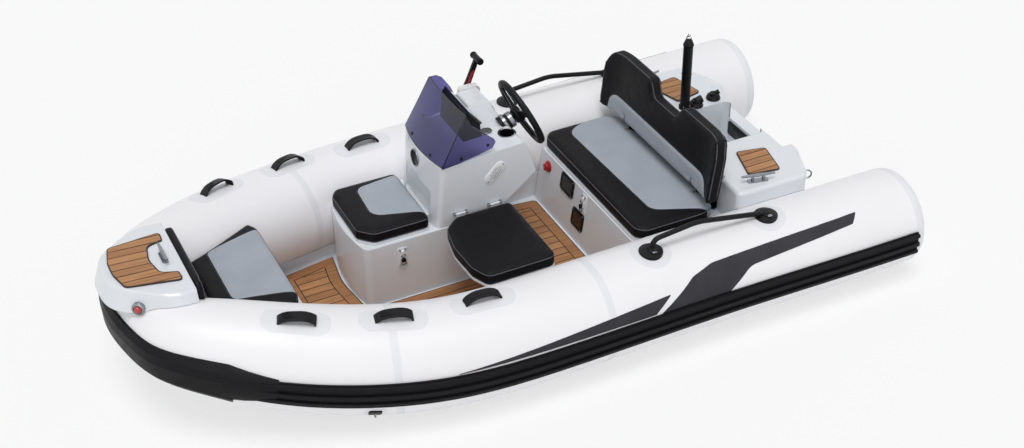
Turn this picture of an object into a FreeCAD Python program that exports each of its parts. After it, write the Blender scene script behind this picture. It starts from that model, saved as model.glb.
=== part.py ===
import FreeCAD
import Part
import math
import os
from FreeCAD import Vector as V

# A 3.4 m rigid inflatable tender with a console, seats and a stern bench.
# +X runs forward, +Y to port and +Z up, in millimetres.
# The origin is on the centreline at the waterline, beneath the engine transom.

os.makedirs("parts", exist_ok=True)
doc = FreeCAD.newDocument("Tender")
sheet = doc.addObject("Spreadsheet::Sheet", "Sizes")
cells = []


def size(alias, value):
    cells.append(alias)
    row = str(len(cells))
    sheet.set("A" + row, alias.replace("_", " "))
    sheet.set("B" + row, str(value))
    sheet.setAlias("B" + row, alias)
    return float(value)


# Inflatable tube: plan stations, sheer and taper
tube_radius = size("tube_radius", 215)
nose_radius = size("nose_radius", 148)
tube_height = size("tube_height", 212)
bow_rise = size("bow_rise", 170)
rise_start = size("rise_start", 1600)
stern_end = size("stern_end", -300)
stern_breadth = size("stern_breadth", 655)
quarter_place = size("quarter_place", 120)
quarter_breadth = size("quarter_breadth", 650)
waist_place = size("waist_place", 600)
waist_breadth = size("waist_breadth", 639)
shoulder_place = size("shoulder_place", 1400)
shoulder_breadth = size("shoulder_breadth", 641)
flare_place = size("flare_place", 1840)
flare_breadth = size("flare_breadth", 611)
cheek_place = size("cheek_place", 2150)
cheek_breadth = size("cheek_breadth", 532)
fore_place = size("fore_place", 2450)
fore_breadth = size("fore_breadth", 411)
corner_place = size("corner_place", 2640)
corner_breadth = size("corner_breadth", 311)
curl_place = size("curl_place", 2698)
curl_breadth = size("curl_breadth", 277)
taper_start = size("taper_start", 2050)
turn_place = size("turn_place", 2752)
turn_breadth = size("turn_breadth", 222)
front_place = size("front_place", 2788)
front_breadth = size("front_breadth", 108)
nose_place = size("nose_place", 2803)
fan_place = size("fan_place", 2480)
station_gap = size("station_gap", 105)
straight_gap = size("straight_gap", 300)
fabric_clear = size("fabric_clear", 1)
cap_length = size("cap_length", 72)
cap_band = size("cap_band", 26)
locker_lip = size("locker_lip", 22)
lid_tube_gap = size("lid_tube_gap", 7)

# Rubbing strake and bow guard
strake_half_angle = size("strake_half_angle", 14)
strake_web = size("strake_web", 9)
strake_rib = size("strake_rib", 20)
guard_half_angle = size("guard_half_angle", 25)
guard_thick = size("guard_thick", 24)

# Hull bottom
transom_place = size("transom_place", -35)
keel_depth = size("keel_depth", 205)
keel_straight = size("keel_straight", 1300)
stem_place = size("stem_place", 2700)
stem_rise = size("stem_rise", 325)
chine_breadth = size("chine_breadth", 450)
chine_depth = size("chine_depth", 45)
chine_rise = size("chine_rise", 200)
chine_flat = size("chine_flat", 26)
sole_under = size("sole_under", 18)
sheer_spread = size("sheer_spread", 38)
sheer_trim = size("sheer_trim", 26)

# Cockpit mouldings
sole_top = size("sole_top", 30)
seam_gap = size("seam_gap", 2)
liner_reach = size("liner_reach", 0.42)
cockpit_half = size("cockpit_half", 428)
cockpit_front = size("cockpit_front", 2185)
coaming_out = size("coaming_out", 560)
coaming_top = size("coaming_top", 210)
bow_box_front = size("bow_box_front", 2690)
bow_box_top = size("bow_box_top", 346)
bow_box_half = size("bow_box_half", 430)
locker_wall = size("locker_wall", 18)
bench_front_foot = size("bench_front_foot", 882)
bench_front_head = size("bench_front_head", 842)
bench_back = size("bench_back", 396)
bench_top = size("bench_top", 292)
bench_half = size("bench_half", 422)
stern_top = size("stern_top", 462)
stern_half = size("stern_half", 520)
stern_front = size("stern_front", 396)
well_front = size("well_front", 330)
well_half = size("well_half", 150)
well_floor = size("well_floor", 250)
transom_thick = size("transom_thick", 58)
transom_top = size("transom_top", 385)
transom_notch_half = size("transom_notch_half", 235)

# Bow step
step_back = size("step_back", 2652)
step_front = size("step_front", 2944)
step_top = size("step_top", 572)
step_slope = size("step_slope", 0.06)
step_skirt = size("step_skirt", 500)
step_half_back = size("step_half_back", 236)
step_half_front = size("step_half_front", 128)
step_bulge = size("step_bulge", 24)
pad_thick = size("pad_thick", 6)
floor_half = size("floor_half", 412)
floor_front = size("floor_front", 2164)
deck_rounding = size("deck_rounding", 16)
bolster_thick = size("bolster_thick", 30)
bolster_half = size("bolster_half", 200)
bolster_end = size("bolster_end", 254)
bolster_stand = size("bolster_stand", 4)
bolster_height = size("bolster_height", 114)

# Seat pedestal, console and windscreen
pedestal_front = size("pedestal_front", 1884)
pedestal_bulge = size("pedestal_bulge", 30)
pedestal_back = size("pedestal_back", 1236)
pedestal_port = size("pedestal_port", 4)
pedestal_side = size("pedestal_side", -424)
pedestal_top = size("pedestal_top", 330)
pedestal_rounding = size("pedestal_rounding", 34)
console_front = size("console_front", 1560)
console_head = size("console_head", 1532)
console_port = size("console_port", 0)
console_side = size("console_side", -382)
console_top = size("console_top", 640)
console_back = size("console_back", 1140)
console_bulge = size("console_bulge", 22)
console_rounding = size("console_rounding", 24)
knee_place = size("knee_place", 1088)
knee_height = size("knee_height", 490)
kick_place = size("kick_place", 1236)
kick_height = size("kick_height", 372)
pod_top = size("pod_top", 731)
pod_front = size("pod_front", 1282)
pod_back = size("pod_back", 1188)
pod_port = size("pod_port", -185)
pod_crease = size("pod_crease", -271)
board_top = size("board_top", 782)
board_front = size("board_front", 1340)
board_port = size("board_port", -131)
screen_top = size("screen_top", 844)
screen_thick = size("screen_thick", 5)
cup_radius = size("cup_radius", 34)
cup_place = size("cup_place", 1176)
cup_side = size("cup_side", -104)

# Seats and backrest
lid_thick = size("lid_thick", 12)
lid_gap = size("lid_gap", 1)
hinge_stand = size("hinge_stand", 10)
pin_radius = size("pin_radius", 2.5)
ear_width = size("ear_width", 9)
seat_front = size("seat_front", 1894)
seat_back = size("seat_back", 1586)
seat_port = size("seat_port", -14)
seat_side = size("seat_side", -396)
seat_cushion_thick = size("seat_cushion_thick", 52)
cushion_gap = size("cushion_gap", 0.3)
side_seat_front = size("side_seat_front", 1572)
side_seat_back = size("side_seat_back", 1222)
side_seat_inner = size("side_seat_inner", 14)
side_seat_outer = size("side_seat_outer", 446)
side_seat_under = size("side_seat_under", 316)
side_cushion_thick = size("side_cushion_thick", 54)
bench_cushion_front = size("bench_cushion_front", 830)
bench_cushion_back = size("bench_cushion_back", 450)
bench_cushion_half = size("bench_cushion_half", 438)
bench_cushion_thick = size("bench_cushion_thick", 56)
bow_cushion_front = size("bow_cushion_front", 2588)
bow_cushion_back = size("bow_cushion_back", 2266)
bow_cushion_nose_half = size("bow_cushion_nose_half", 184)
bow_cushion_half = size("bow_cushion_half", 344)
bow_cushion_thick = size("bow_cushion_thick", 56)
rest_half = size("rest_half", 470)
rest_foot = size("rest_foot", 412)
rest_head = size("rest_head", 692)
rest_thick = size("rest_thick", 56)
rest_place = size("rest_place", 490)
rest_lean = size("rest_lean", 7)
rest_wrap = size("rest_wrap", 36)
rest_dip = size("rest_dip", 70)
rest_dip_half = size("rest_dip_half", 92)
rest_bracket_side = size("rest_bracket_side", 290)

# Helm
wheel_place = size("wheel_place", 1064)
wheel_side = size("wheel_side", -190)
wheel_height = size("wheel_height", 672)
wheel_tilt = size("wheel_tilt", 24)
wheel_radius = size("wheel_radius", 148)
wheel_grip = size("wheel_grip", 14)
shaft_radius = size("shaft_radius", 10)
running_clear = size("running_clear", 0.05)

# Rails, handles and deck fittings
rail_radius = size("rail_radius", 11)
rail_front = size("rail_front", 905)
rail_back = size("rail_back", 352)
rail_head = size("rail_head", 506)
rail_foot_radius = size("rail_foot_radius", 50)
handle_length = size("handle_length", 150)
handle_rise = size("handle_rise", 34)
handle_thick = size("handle_thick", 7)
handle_width = size("handle_width", 44)
mast_radius = size("mast_radius", 22)
mast_head = size("mast_head", 812)
mast_place = size("mast_place", 232)
mast_side = size("mast_side", -186)
doc.recompute()

nodes = {}


def solid_of(shape, neat):
    cleaned = shape.removeSplitter() if neat else shape
    solids = cleaned.Solids if cleaned.isValid() else shape.Solids
    return solids[0] if len(solids) == 1 else Part.makeCompound(solids)


def node(name, shape, neat=True):
    piece = doc.addObject("Part::Feature", name)
    piece.Shape = solid_of(shape, neat)
    nodes[name] = piece
    return piece


def arc_corners(points, radii):
    edges = []
    count = len(points)
    ends = []
    for i in range(count):
        here = V(*points[i])
        back = V(*points[i - 1])
        ahead = V(*points[(i + 1) % count])
        r = radii[i] if isinstance(radii, (list, tuple)) else radii
        if r <= 0:
            ends.append((here, None, here))
            continue
        a = (back - here).normalize()
        b = (ahead - here).normalize()
        half = math.acos(max(-1.0, min(1.0, a.dot(b)))) / 2.0
        reach = r / math.tan(half)
        first = here + a * reach
        last = here + b * reach
        middle_way = (a + b).normalize()
        centre = here + middle_way * (r / math.sin(half))
        ends.append((first, centre - middle_way * r, last))
    for i in range(count):
        first, middle, last = ends[i]
        if middle is not None:
            edges.append(Part.Arc(first, middle, last))
        start = last
        finish = ends[(i + 1) % count][0]
        if start.distanceToPoint(finish) > 0.01:
            edges.append(Part.LineSegment(start, finish))
    return edges


def outline_face(points, radii):
    edges = [g.toShape() for g in arc_corners(points, radii)]
    return Part.Face(Part.Wire(edges))


def plate(name, plane, points, radii, start, length_alias, round_edges=0.0, top_only=True, keep=True):
    body = doc.addObject("PartDesign::Body", name + "_body")
    drawing = body.newObject("Sketcher::SketchObject", name + "_outline")
    planes = {"XY": 0, "XZ": 1, "YZ": 2}
    support = [f for f in body.Origin.OriginFeatures if f.TypeId == "App::Plane"][planes[plane]]
    drawing.AttachmentSupport = [(support, "")]
    drawing.MapMode = "FlatFace"
    drawing.AttachmentOffset = FreeCAD.Placement(V(0, 0, start), FreeCAD.Rotation())
    flat = [(p[0], p[1], 0) for p in points]
    for g in arc_corners(flat, radii):
        drawing.addGeometry(g, False)
    pad = body.newObject("PartDesign::Pad", name + "_pad")
    pad.Profile = drawing
    pad.setExpression("Length", length_alias)
    doc.recompute()
    result = pad
    if round_edges > 0:
        box = pad.Shape.BoundBox
        picks = []
        for i, edge in enumerate(pad.Shape.Edges):
            e = edge.BoundBox
            high = e.ZMin > box.ZMax - 0.01
            low = e.ZMax < box.ZMin + 0.01
            if high or (low and not top_only):
                picks.append("Edge" + str(i + 1))
        soft = body.newObject("PartDesign::Fillet", name + "_rounding")
        soft.Base = (pad, picks)
        soft.Radius = round_edges
        doc.recompute()
        result = soft
    body.Tip = result
    doc.recompute()
    if keep:
        nodes[name] = body
    return body


def block(x0, x1, y0, y1, z0, z1):
    return Part.makeBox(x1 - x0, y1 - y0, z1 - z0, V(x0, y0, z0))


def largest(shape):
    return max(shape.Solids, key=lambda solid: solid.Volume)


def seated(shape, origin, across, normal):
    # Place a shape drawn in its own axes: X runs across, Z along the normal
    up = normal.cross(across)
    frame = FreeCAD.Matrix(across.x, up.x, normal.x, origin.x, across.y, up.y, normal.y, origin.y,
                           across.z, up.z, normal.z, origin.z, 0, 0, 0, 1)
    placed = shape.copy()
    placed.Placement = FreeCAD.Placement(frame)
    return placed


def tablet(width, height, thick, corner):
    w = width / 2
    h = height / 2
    return outline_face([(-w, -h, 0), (w, -h, 0), (w, h, 0), (-w, h, 0)], corner).extrude(V(0, 0, thick))


def wedge(outline, y0, y1):
    # A prism across the boat from an outline of (x, z) corners
    ring = [V(x, y0, z) for x, z in outline]
    return Part.Face(Part.makePolygon(ring + [ring[0]])).extrude(V(0, y1 - y0, 0))


def mirrored(shape):
    return shape.mirror(V(0, 0, 0), V(0, 1, 0))


def rod(a, b, radius):
    way = b - a
    return Part.makeCylinder(radius, way.Length, a, way)


def bent_pipe(points, bends, radius):
    # A pipe with straight runs and round bends at its inner corners
    corners = [V(*p) for p in points]
    edges = []
    last = corners[0]
    for i, bend in enumerate(bends, 1):
        here = corners[i]
        a = (corners[i - 1] - here).normalize()
        b = (corners[i + 1] - here).normalize()
        half = math.acos(a.dot(b)) / 2.0
        middle = (a + b).normalize()
        first = here + a * (bend / math.tan(half))
        second = here + b * (bend / math.tan(half))
        centre = here + middle * (bend / math.sin(half))
        edges.append(Part.LineSegment(last, first).toShape())
        edges.append(Part.Arc(first, centre - middle * bend, second).toShape())
        last = second
    edges.append(Part.LineSegment(last, corners[-1]).toShape())
    ring = Part.Wire(Part.Circle(corners[0], corners[1] - corners[0], radius).toShape())
    return Part.Wire(edges).makePipeShell([ring], True, True)


# Centreline of the inflatable tube
half_plan = [
    (stern_end, stern_breadth),
    (quarter_place, quarter_breadth),
    (waist_place, waist_breadth),
    (shoulder_place, shoulder_breadth),
    (flare_place, flare_breadth),
    (cheek_place, cheek_breadth),
    (fore_place, fore_breadth),
    (corner_place, corner_breadth),
    (curl_place, curl_breadth),
    (turn_place, turn_breadth),
    (front_place, front_breadth),
]


def sheer(x):
    forward = max(0.0, (x - rise_start) / (nose_place - rise_start))
    return tube_height + bow_rise * forward ** 2


plan = [V(x, y, sheer(x)) for x, y in half_plan]
plan.append(V(nose_place, 0, sheer(nose_place)))
plan += [V(p.x, -p.y, p.z) for p in reversed(plan[:-1])]
centreline = Part.BSplineCurve()
centreline.interpolate(plan)


def station(t):
    p = centreline.value(t)
    way = centreline.tangent(t)[0]
    out = V(way.y, -way.x, 0).normalize()
    fanned = V(p.x - fan_place, p.y, 0)
    if p.x > corner_place - 40:
        out = fanned.normalize()
    if out.y * p.y < 0:
        out = out * -1.0
    taper = max(0.0, (p.x - taper_start) / (nose_place - taper_start))
    r = tube_radius - (tube_radius - nose_radius) * min(1.0, taper) ** 3
    return p, out, r


stations = [centreline.FirstParameter]
run = centreline.length()
travelled = 0.0
while True:
    x = centreline.value(stations[-1]).x
    travelled += straight_gap if x < flare_place - straight_gap / 2 else station_gap
    if travelled > run / 2 - station_gap / 2:
        break
    stations.append(centreline.parameterAtDistance(travelled))
nose_turn = centreline.parameterAtDistance(run / 2)
stations += [nose_turn] + [centreline.FirstParameter + centreline.LastParameter - t for t in reversed(stations)]


def on_tube(t, degrees, lift):
    # A point on the tube: 0 degrees is outboard, 90 is the crown, lift is off the fabric
    p, out, r = station(t)
    a = math.radians(degrees)
    return p + out * ((r + lift) * math.cos(a)) + V(0, 0, (r + lift) * math.sin(a))


def sewn(faces):
    shell = Part.makeShell(faces)
    shell.sewShape()
    shell = shell.Shells[0] if shell.Shells else shell
    solid = Part.makeSolid(shell)
    if solid.Volume < 0:
        solid = solid.reversed()
    return solid


def tube_body(extra):
    surface = Part.BSplineSurface()
    surface.interpolate([[on_tube(t, a - 90, extra) for a in range(0, 361, 30)] for t in stations])
    last = surface.NbVPoles
    for i in range(1, surface.NbUPoles + 1):
        surface.setPole(i, last, surface.getPole(i, 1))
    skin = surface.toShape()
    ends = [Part.Face(Part.Wire([e])) for e in skin.Edges if e.isClosed() and e.Length < 10 * tube_radius]
    return sewn([skin] + ends)


def strip_body(sections):
    # A bar following the tube: sections are closed rings of corner points
    corners = len(sections[0])
    rails = []
    for k in range(corners):
        curve = Part.BSplineCurve()
        curve.interpolate([s[k] for s in sections])
        rails.append(curve.toShape())
    faces = [Part.makeRuledSurface(rails[k], rails[(k + 1) % corners]) for k in range(corners)]
    for s in (sections[0], sections[-1]):
        faces.append(Part.Face(Part.makePolygon(s + [s[0]])))
    return sewn(faces)


def place_on_path(x, side):
    low, high = centreline.FirstParameter, nose_turn
    for _ in range(40):
        middle = (low + high) / 2
        if centreline.value(middle).x < x:
            low = middle
        else:
            high = middle
    return low if side > 0 else centreline.FirstParameter + centreline.LastParameter - low


def path_run(x, side):
    # The stations from the stern up to the place x on one side
    stop = place_on_path(x, 1)
    ahead = [t for t in stations if t < stop - 0.01 * stop]
    span = [t for t in ahead] + [stop]
    if side < 0:
        span = [centreline.FirstParameter + centreline.LastParameter - t for t in reversed(span)]
    return span


tube = tube_body(0)
fat_tube = tube_body(fabric_clear)
node("tube", tube)

# Domed ends of the two tubes
caps = []
for t, side in ((stations[0], 1), (stations[-1], -1)):
    centre, out, r = station(t)
    rim = r - 2
    profile = [
        (0, 0), (0, rim), (cap_band, rim), (cap_band + 6, rim - 3),
    ]
    dome = []
    for i in range(1, 8):
        a = math.radians(90 - i * 90 / 7)
        dome.append((cap_band + 6 + (cap_length - cap_band - 6) * math.cos(a), (rim - 3) * math.sin(a) ** 0.55))
    ring = [V(-x, y, 0) for x, y in profile]
    edges = [Part.LineSegment(ring[i], ring[i + 1]).toShape() for i in range(3)]
    curve = Part.BSplineCurve()
    curve.interpolate([ring[3]] + [V(-x, max(y, 0), 0) for x, y in dome])
    edges.append(curve.toShape())
    edges.append(Part.LineSegment(V(-cap_length, 0, 0), V(0, 0, 0)).toShape())
    cap = Part.Face(Part.Wire(edges)).revolve(V(0, 0, 0), V(1, 0, 0), 360)
    way = centreline.tangent(t)[0] * side
    turn = FreeCAD.Rotation(V(1, 0, 0), way)
    cap.Placement = FreeCAD.Placement(centre - way * 0.2, turn)
    caps.append(cap)
node("stern_caps", Part.makeCompound(caps))

# Rubbing strake with three ribs, and the smooth guard around the bow
a = strake_half_angle
strake_ring = [
    (a, 1.5), (a, strake_web), (a - 1.5, strake_web), (a - 2.5, strake_rib), (a - 5.6, strake_rib),
    (a - 6.6, strake_web), (2.9, strake_web), (2.0, strake_rib), (-2.0, strake_rib), (-2.9, strake_web),
    (6.6 - a, strake_web), (5.6 - a, strake_rib), (2.5 - a, strake_rib), (1.5 - a, strake_web),
    (-a, strake_web), (-a, 1.5), (-a * 0.5, 1.5), (0, 1.5), (a * 0.5, 1.5),
]
guard_start = corner_place - 90
strakes = []
for side in (1, -1):
    span = path_run(guard_start - 3, side)
    strakes.append(strip_body([[on_tube(t, d, lift) for d, lift in strake_ring] for t in span]))
node("rub_strake", Part.makeCompound(strakes))
g = guard_half_angle
guard_ring = [
    (g, 1.5), (g - 1.5, guard_thick * 0.45), (a + 1, guard_thick * 0.9), (4, guard_thick), (-8, guard_thick),
    (-a - 2, guard_thick * 1.2), (-g + 3, guard_thick), (-g, 1.5), (-g * 0.6, 1.5), (-g * 0.2, 1.5),
    (g * 0.2, 1.5), (g * 0.6, 1.5),
]
first = place_on_path(guard_start, 1)
last = place_on_path(guard_start, -1)
inside = [first] + [t for t in stations if first * 1.01 < t < last * 0.99] + [last]
node("bow_guard", strip_body([[on_tube(t, d, lift) for d, lift in guard_ring] for t in inside]))


# Deep V hull bottom with a chine, closed under the cockpit sole
def hull_sheer(x):
    w = max(0.0, (x - cockpit_front) / (stem_place - cockpit_front))
    return sole_under - seam_gap + (stem_rise - keel_depth + 70 - sole_under) * w ** 1.5


def hull_station(x):
    u = max(0.0, (x - keel_straight) / (stem_place - keel_straight))
    keel = -keel_depth + stem_rise * u ** 2.6
    chine = max(14.0, chine_breadth * max(0.0, 1 - u ** 2.2) ** 0.8)
    turn_up = -chine_depth + chine_rise * u ** 2
    flat = chine_flat * (1 - 0.8 * u)
    sheer_y = chine + flat + sheer_spread * (1 - 0.8 * u)
    sheer_z = hull_sheer(x) + sheer_trim
    rail_y = chine * 0.5
    rail_z = keel + (turn_up - keel) * 0.5
    side = [
        (rail_y, rail_z), (rail_y + 14 * (1 - 0.7 * u), rail_z - 3), (chine, turn_up - 6), (chine + flat, turn_up),
        (sheer_y, sheer_z),
    ]
    ring = [V(x, 0, keel)] + [V(x, y, z) for y, z in side] + [V(x, -y, z) for y, z in reversed(side)]
    return ring


hull_shares = (0, 0.25, 0.5, 0.64, 0.74, 0.8, 0.86, 0.9, 0.94, 0.97, 1)
hull_places = [transom_place + (stem_place - transom_place) * k for k in hull_shares]
hull = strip_body([hull_station(x) for x in hull_places])
sheer_line = [(x, hull_sheer(x)) for x in range(int(cockpit_front), int(stem_place) + 60, 20)]
above_sheer = [(transom_place - 60, hull_sheer(0))] + sheer_line + [(stem_place + 60, 600), (transom_place - 60, 600)]
hull = hull.cut(wedge(above_sheer, -600, 600))
node("hull_bottom", largest(hull))

# Cockpit moulding: sole, coamings under the tubes and the bow locker
sole = block(transom_place, cockpit_front + 30, -coaming_out, coaming_out, sole_under, sole_top)
coamings = block(transom_place, cockpit_front + 30, -coaming_out, coaming_out, sole_top, coaming_top)
coamings = coamings.cut(block(transom_place - 5, cockpit_front, -cockpit_half, cockpit_half, sole_top,
                              coaming_top + 9))
bow_box = block(cockpit_front, bow_box_front, -bow_box_half, bow_box_half, sole_under, bow_box_top)
under_bow = [(cockpit_front - 40, sole_under - 60)] + [(x, z + seam_gap) for x, z in sheer_line]
under_bow += [(stem_place + 60, sole_under - 60)]
locker = outline_face([
    (cockpit_front + 104, -250, 140), (bow_cushion_front - 60, -118, 140), (bow_cushion_front - 60, 118, 140),
    (cockpit_front + 104, 250, 140),
], 20).extrude(V(0, 0, bow_box_top))
rear_slope = wedge([(cockpit_front - 5, sole_top), (cockpit_front, sole_top), (bow_cushion_back - 20, bow_box_top + 5),
                    (cockpit_front - 5, bow_box_top + 5)], -600, 600)
wide_tube = tube_body(locker_lip)
locker = locker.cut(wide_tube)
liner = sole.fuse([coamings, bow_box]).cut([rear_slope, locker, fat_tube, wedge(under_bow, -600, 600)])
trim = [p - out * (r * liner_reach) for p, out, r in [station(t) for t in stations]]
trim = [V(p.x, p.y, -400) for p in trim]
liner = liner.common(Part.Face(Part.makePolygon(trim + [trim[0]])).extrude(V(0, 0, 1400)))
node("deck_liner", largest(liner))

# Bench base with its locker open at the top
bench = wedge([(bench_back, sole_top), (bench_front_foot, sole_top), (bench_front_head, bench_top),
               (bench_back, bench_top)], -bench_half, bench_half)
locker_back = bench_cushion_back + 4
bench = bench.cut([fat_tube, block(locker_back, bench_front_head - locker_wall, 34 - bench_half, bench_half - 34,
                                   sole_top + 15, bench_top + 5)])
node("bench_base", largest(bench))

# Stern moulding: side decks, splash well and engine transom
transom_half = stern_half - 190
stern_outline = [
    (transom_place, -transom_half, sole_top), (transom_place + 80, -stern_half, sole_top), (stern_front, -stern_half, sole_top),
    (stern_front, stern_half, sole_top), (transom_place + 80, stern_half, sole_top), (transom_place, transom_half, sole_top),
]
stern = outline_face(stern_outline, [40, 60, 30, 30, 60, 40]).extrude(V(0, 0, stern_top - sole_top))
stern = stern.makeFillet(deck_rounding, [e for e in stern.Edges if e.BoundBox.ZMin > stern_top - 1])
well_back = transom_place + transom_thick
well = outline_face([(well_back, -well_half, well_floor), (well_front, -well_half, well_floor),
                     (well_front, well_half, well_floor), (well_back, well_half, well_floor)], 30)
stern = stern.cut(well.extrude(V(0, 0, stern_top)))
notch = Part.Face(Part.makePolygon([
    V(transom_place - 50, -transom_notch_half, transom_top), V(transom_place - 50, transom_notch_half, transom_top),
    V(transom_place - 50, transom_notch_half + 60, stern_top + 5),
    V(transom_place - 50, -transom_notch_half - 60, stern_top + 5),
    V(transom_place - 50, -transom_notch_half, transom_top)])).extrude(V(50 + transom_thick, 0, 0))
stern = stern.cut([notch, fat_tube, largest(liner)])
node("stern_moulding", largest(stern))


# Bow step moulding with its skirt over the tube
def step_wire(spread, low, slope):
    # Rounded plan: straight sides, tight corners and a gently bowed front edge
    def at(x, y):
        return V(x, y, low + slope * (x - step_back))
    back = step_half_back + spread
    front = step_front + spread
    corner = step_half_front + spread * 0.7
    half = [(step_back, back), (step_back + 120, back - 12), (step_front - 110, back - 52),
            (front - step_bulge - 20, corner), (front - 4, corner * 0.45), (front, 0)]
    around = Part.BSplineCurve()
    around.interpolate([at(x, y) for x, y in half] + [at(x, -y) for x, y in reversed(half[:-1])])
    return Part.Wire([around.toShape(), Part.LineSegment(at(step_back, -back), at(step_back, back)).toShape()])


step = Part.makeLoft([step_wire(34, step_skirt, 0), step_wire(14, step_top - 22, step_slope)], True, True)
step = step.fuse([
    Part.makeLoft([step_wire(14, step_top - 22, step_slope), step_wire(9, step_top - 7, step_slope)], True, True),
    Part.makeLoft([step_wire(9, step_top - 7, step_slope), step_wire(0, step_top, step_slope)], True, True)])
saddle = block(step_back, step_back + 60, -step_half_back, step_half_back, bow_box_top + 1, step_skirt + 8)
step = step.fuse(saddle).cut([fat_tube, block(0, bow_box_front + 1, -500, 500, 0, bow_box_top + 1)])
node("bow_step", largest(step), neat=False)

# Planked deck pads of the bow step, cockpit floor and side decks
slope_turn = FreeCAD.Rotation(V(0, 1, 0), -math.degrees(math.atan(step_slope)))
pad_front = step_front - step_back - 24
bow_pad = outline_face([
    (26, -170, 0), (pad_front - 24, -138, 0), (pad_front, -40, 0), (pad_front, 40, 0), (pad_front - 24, 138, 0),
    (26, 170, 0), (30, 112, 0), (96, 94, 0), (114, 0, 0), (96, -94, 0), (30, -112, 0),
], [16, 24, 120, 120, 24, 16, 10, 34, 120, 34, 10]).extrude(V(0, 0, pad_thick))
bow_pad.Placement = FreeCAD.Placement(V(step_back, 0, step_top), slope_turn)
node("bow_pad", bow_pad)
floor_pad = outline_face([
    (896, -floor_half + 26, sole_top), (1150, -floor_half, sole_top), (1850, -floor_half, sole_top),
    (floor_front, 52 - floor_half, sole_top), (floor_front, floor_half - 52, sole_top), (1850, floor_half, sole_top),
    (1150, floor_half, sole_top), (896, floor_half - 26, sole_top),
], [20, 200, 200, 30, 30, 200, 200, 20]).extrude(V(0, 0, pad_thick))
floor_gap = outline_face([
    (pedestal_back - 14, -600, sole_top), (pedestal_front + 14, -600, sole_top),
    (pedestal_front + 14, pedestal_side, sole_top), (pedestal_front + pedestal_bulge + 14, -215, sole_top),
    (pedestal_front + 14, pedestal_port + 14, sole_top),
    (pedestal_back - 14, pedestal_port + 14, sole_top)], [0, 0, 40, 400, 44, 24]).extrude(V(0, 0, 20))
node("floor_pad", floor_pad.cut([floor_gap, fat_tube]))
stern_pad = outline_face([(233, 239, stern_top), (97, 268, stern_top), (134, 440, stern_top), (283, 417, stern_top)],
                         16).extrude(V(0, 0, pad_thick))
node("stern_pads", Part.makeCompound([stern_pad, mirrored(stern_pad)]))

# Seat pedestal joined to the console foot, with a locker under the front seat
pedestal_foot = sole_top + 0.5
front_curve = Part.Arc(V(pedestal_front, pedestal_port, pedestal_foot),
                       V(pedestal_front + pedestal_bulge, (pedestal_port + pedestal_side) / 2, pedestal_foot),
                       V(pedestal_front - 6, pedestal_side, pedestal_foot))
foot_wire = [front_curve.toShape()]
for a, b in (((pedestal_front - 6, pedestal_side), (pedestal_back, pedestal_side)),
             ((pedestal_back, pedestal_side), (pedestal_back, pedestal_port)),
             ((pedestal_back, pedestal_port), (pedestal_front, pedestal_port))):
    foot_wire.append(Part.LineSegment(V(a[0], a[1], pedestal_foot), V(b[0], b[1], pedestal_foot)).toShape())
pedestal = Part.Face(Part.Wire(foot_wire)).extrude(V(0, 0, pedestal_top - pedestal_foot))
port_corner = [e for e in pedestal.Edges if e.BoundBox.ZLength > 100 and e.BoundBox.YMin > pedestal_port - 1
               and e.BoundBox.XMin > pedestal_front - 1]
pedestal = pedestal.makeFillet(pedestal_rounding, port_corner)
pedestal = pedestal.cut([block(seat_back + 26, seat_front - 26, seat_side + 26, seat_port - 26, sole_top + 25,
                               pedestal_top + 5), fat_tube])
node("seat_pedestal", largest(pedestal))

# Console
console_body = plate("console_block", "XZ", [
    (console_front, pedestal_top), (console_head, console_top - 8), (console_back, console_top + 8),
    (knee_place, knee_height), (kick_place, kick_height), (kick_place, pedestal_top),
], [0, 22, 18, 14, 10, 0], -console_port, "Sizes.console_port - Sizes.console_side", keep=False)
pod_body = plate("dash_pod", "XZ", [
    (pod_front + 14, console_top - 12), (pod_front, pod_top - 6), (pod_back, pod_top),
    (console_back + 14, console_top - 4),
], [0, 10, 8, 0], -pod_port, "Sizes.pod_port - Sizes.console_side", keep=False)
sides = [e for e in console_body.Shape.Edges if e.BoundBox.YLength < 0.01 and e.BoundBox.ZMin > pedestal_top + 5]
middle = (console_port + console_side) / 2
bow_curve = Part.Arc(V(console_front - 8, console_port, pedestal_top), V(console_front + console_bulge, middle, pedestal_top),
                     V(console_front - 8, console_side, pedestal_top))
plan_wire = [bow_curve.toShape()]
for a, b in (((console_front - 8, console_side), (900, console_side)), ((900, console_side), (900, console_port)),
             ((900, console_port), (console_front - 8, console_port))):
    plan_wire.append(Part.LineSegment(V(a[0], a[1], pedestal_top), V(b[0], b[1], pedestal_top)).toShape())
lean = V(console_head - console_front, 0, console_top - pedestal_top) * 1.1
plan_prism = Part.Face(Part.Wire(plan_wire)).extrude(lean)
plan_prism = plan_prism.makeFillet(console_rounding, [
    e for e in plan_prism.Edges if e.BoundBox.ZLength > 200 and e.BoundBox.XMax > console_front - 60])
front_bar = wedge([(console_front - 30, pedestal_top), (console_front + 60, pedestal_top),
                   (console_head + 60, console_top - 8), (console_head - 30, console_top - 8)],
                  console_side, console_port)
console = console_body.Shape.fuse(front_bar).common(plan_prism)
pod_end = Part.Face(Part.makePolygon([
    V(0, console_side - 9, console_top - 20), V(0, console_side - 9, pod_top + 9), V(0, pod_crease, pod_top + 9),
    V(0, pod_crease, pod_top), V(0, pod_port, console_top + 4), V(0, pod_port, console_top - 20),
    V(0, console_side - 9, console_top - 20)])).extrude(V(2000, 0, 0))
console = console.fuse(pod_body.Shape.common(pod_end))
front_recess = outline_face([(console_front + 30, -318, 360), (console_front + 30, -64, 360),
                             (console_front + 30, -64, 486), (console_front + 30, -318, 520)], 18)
console = console.cut([front_recess.extrude(V(-36, 0, 0)),
                       Part.makeCylinder(cup_radius, 70, V(cup_place, cup_side, console_top - 58))])
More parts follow.
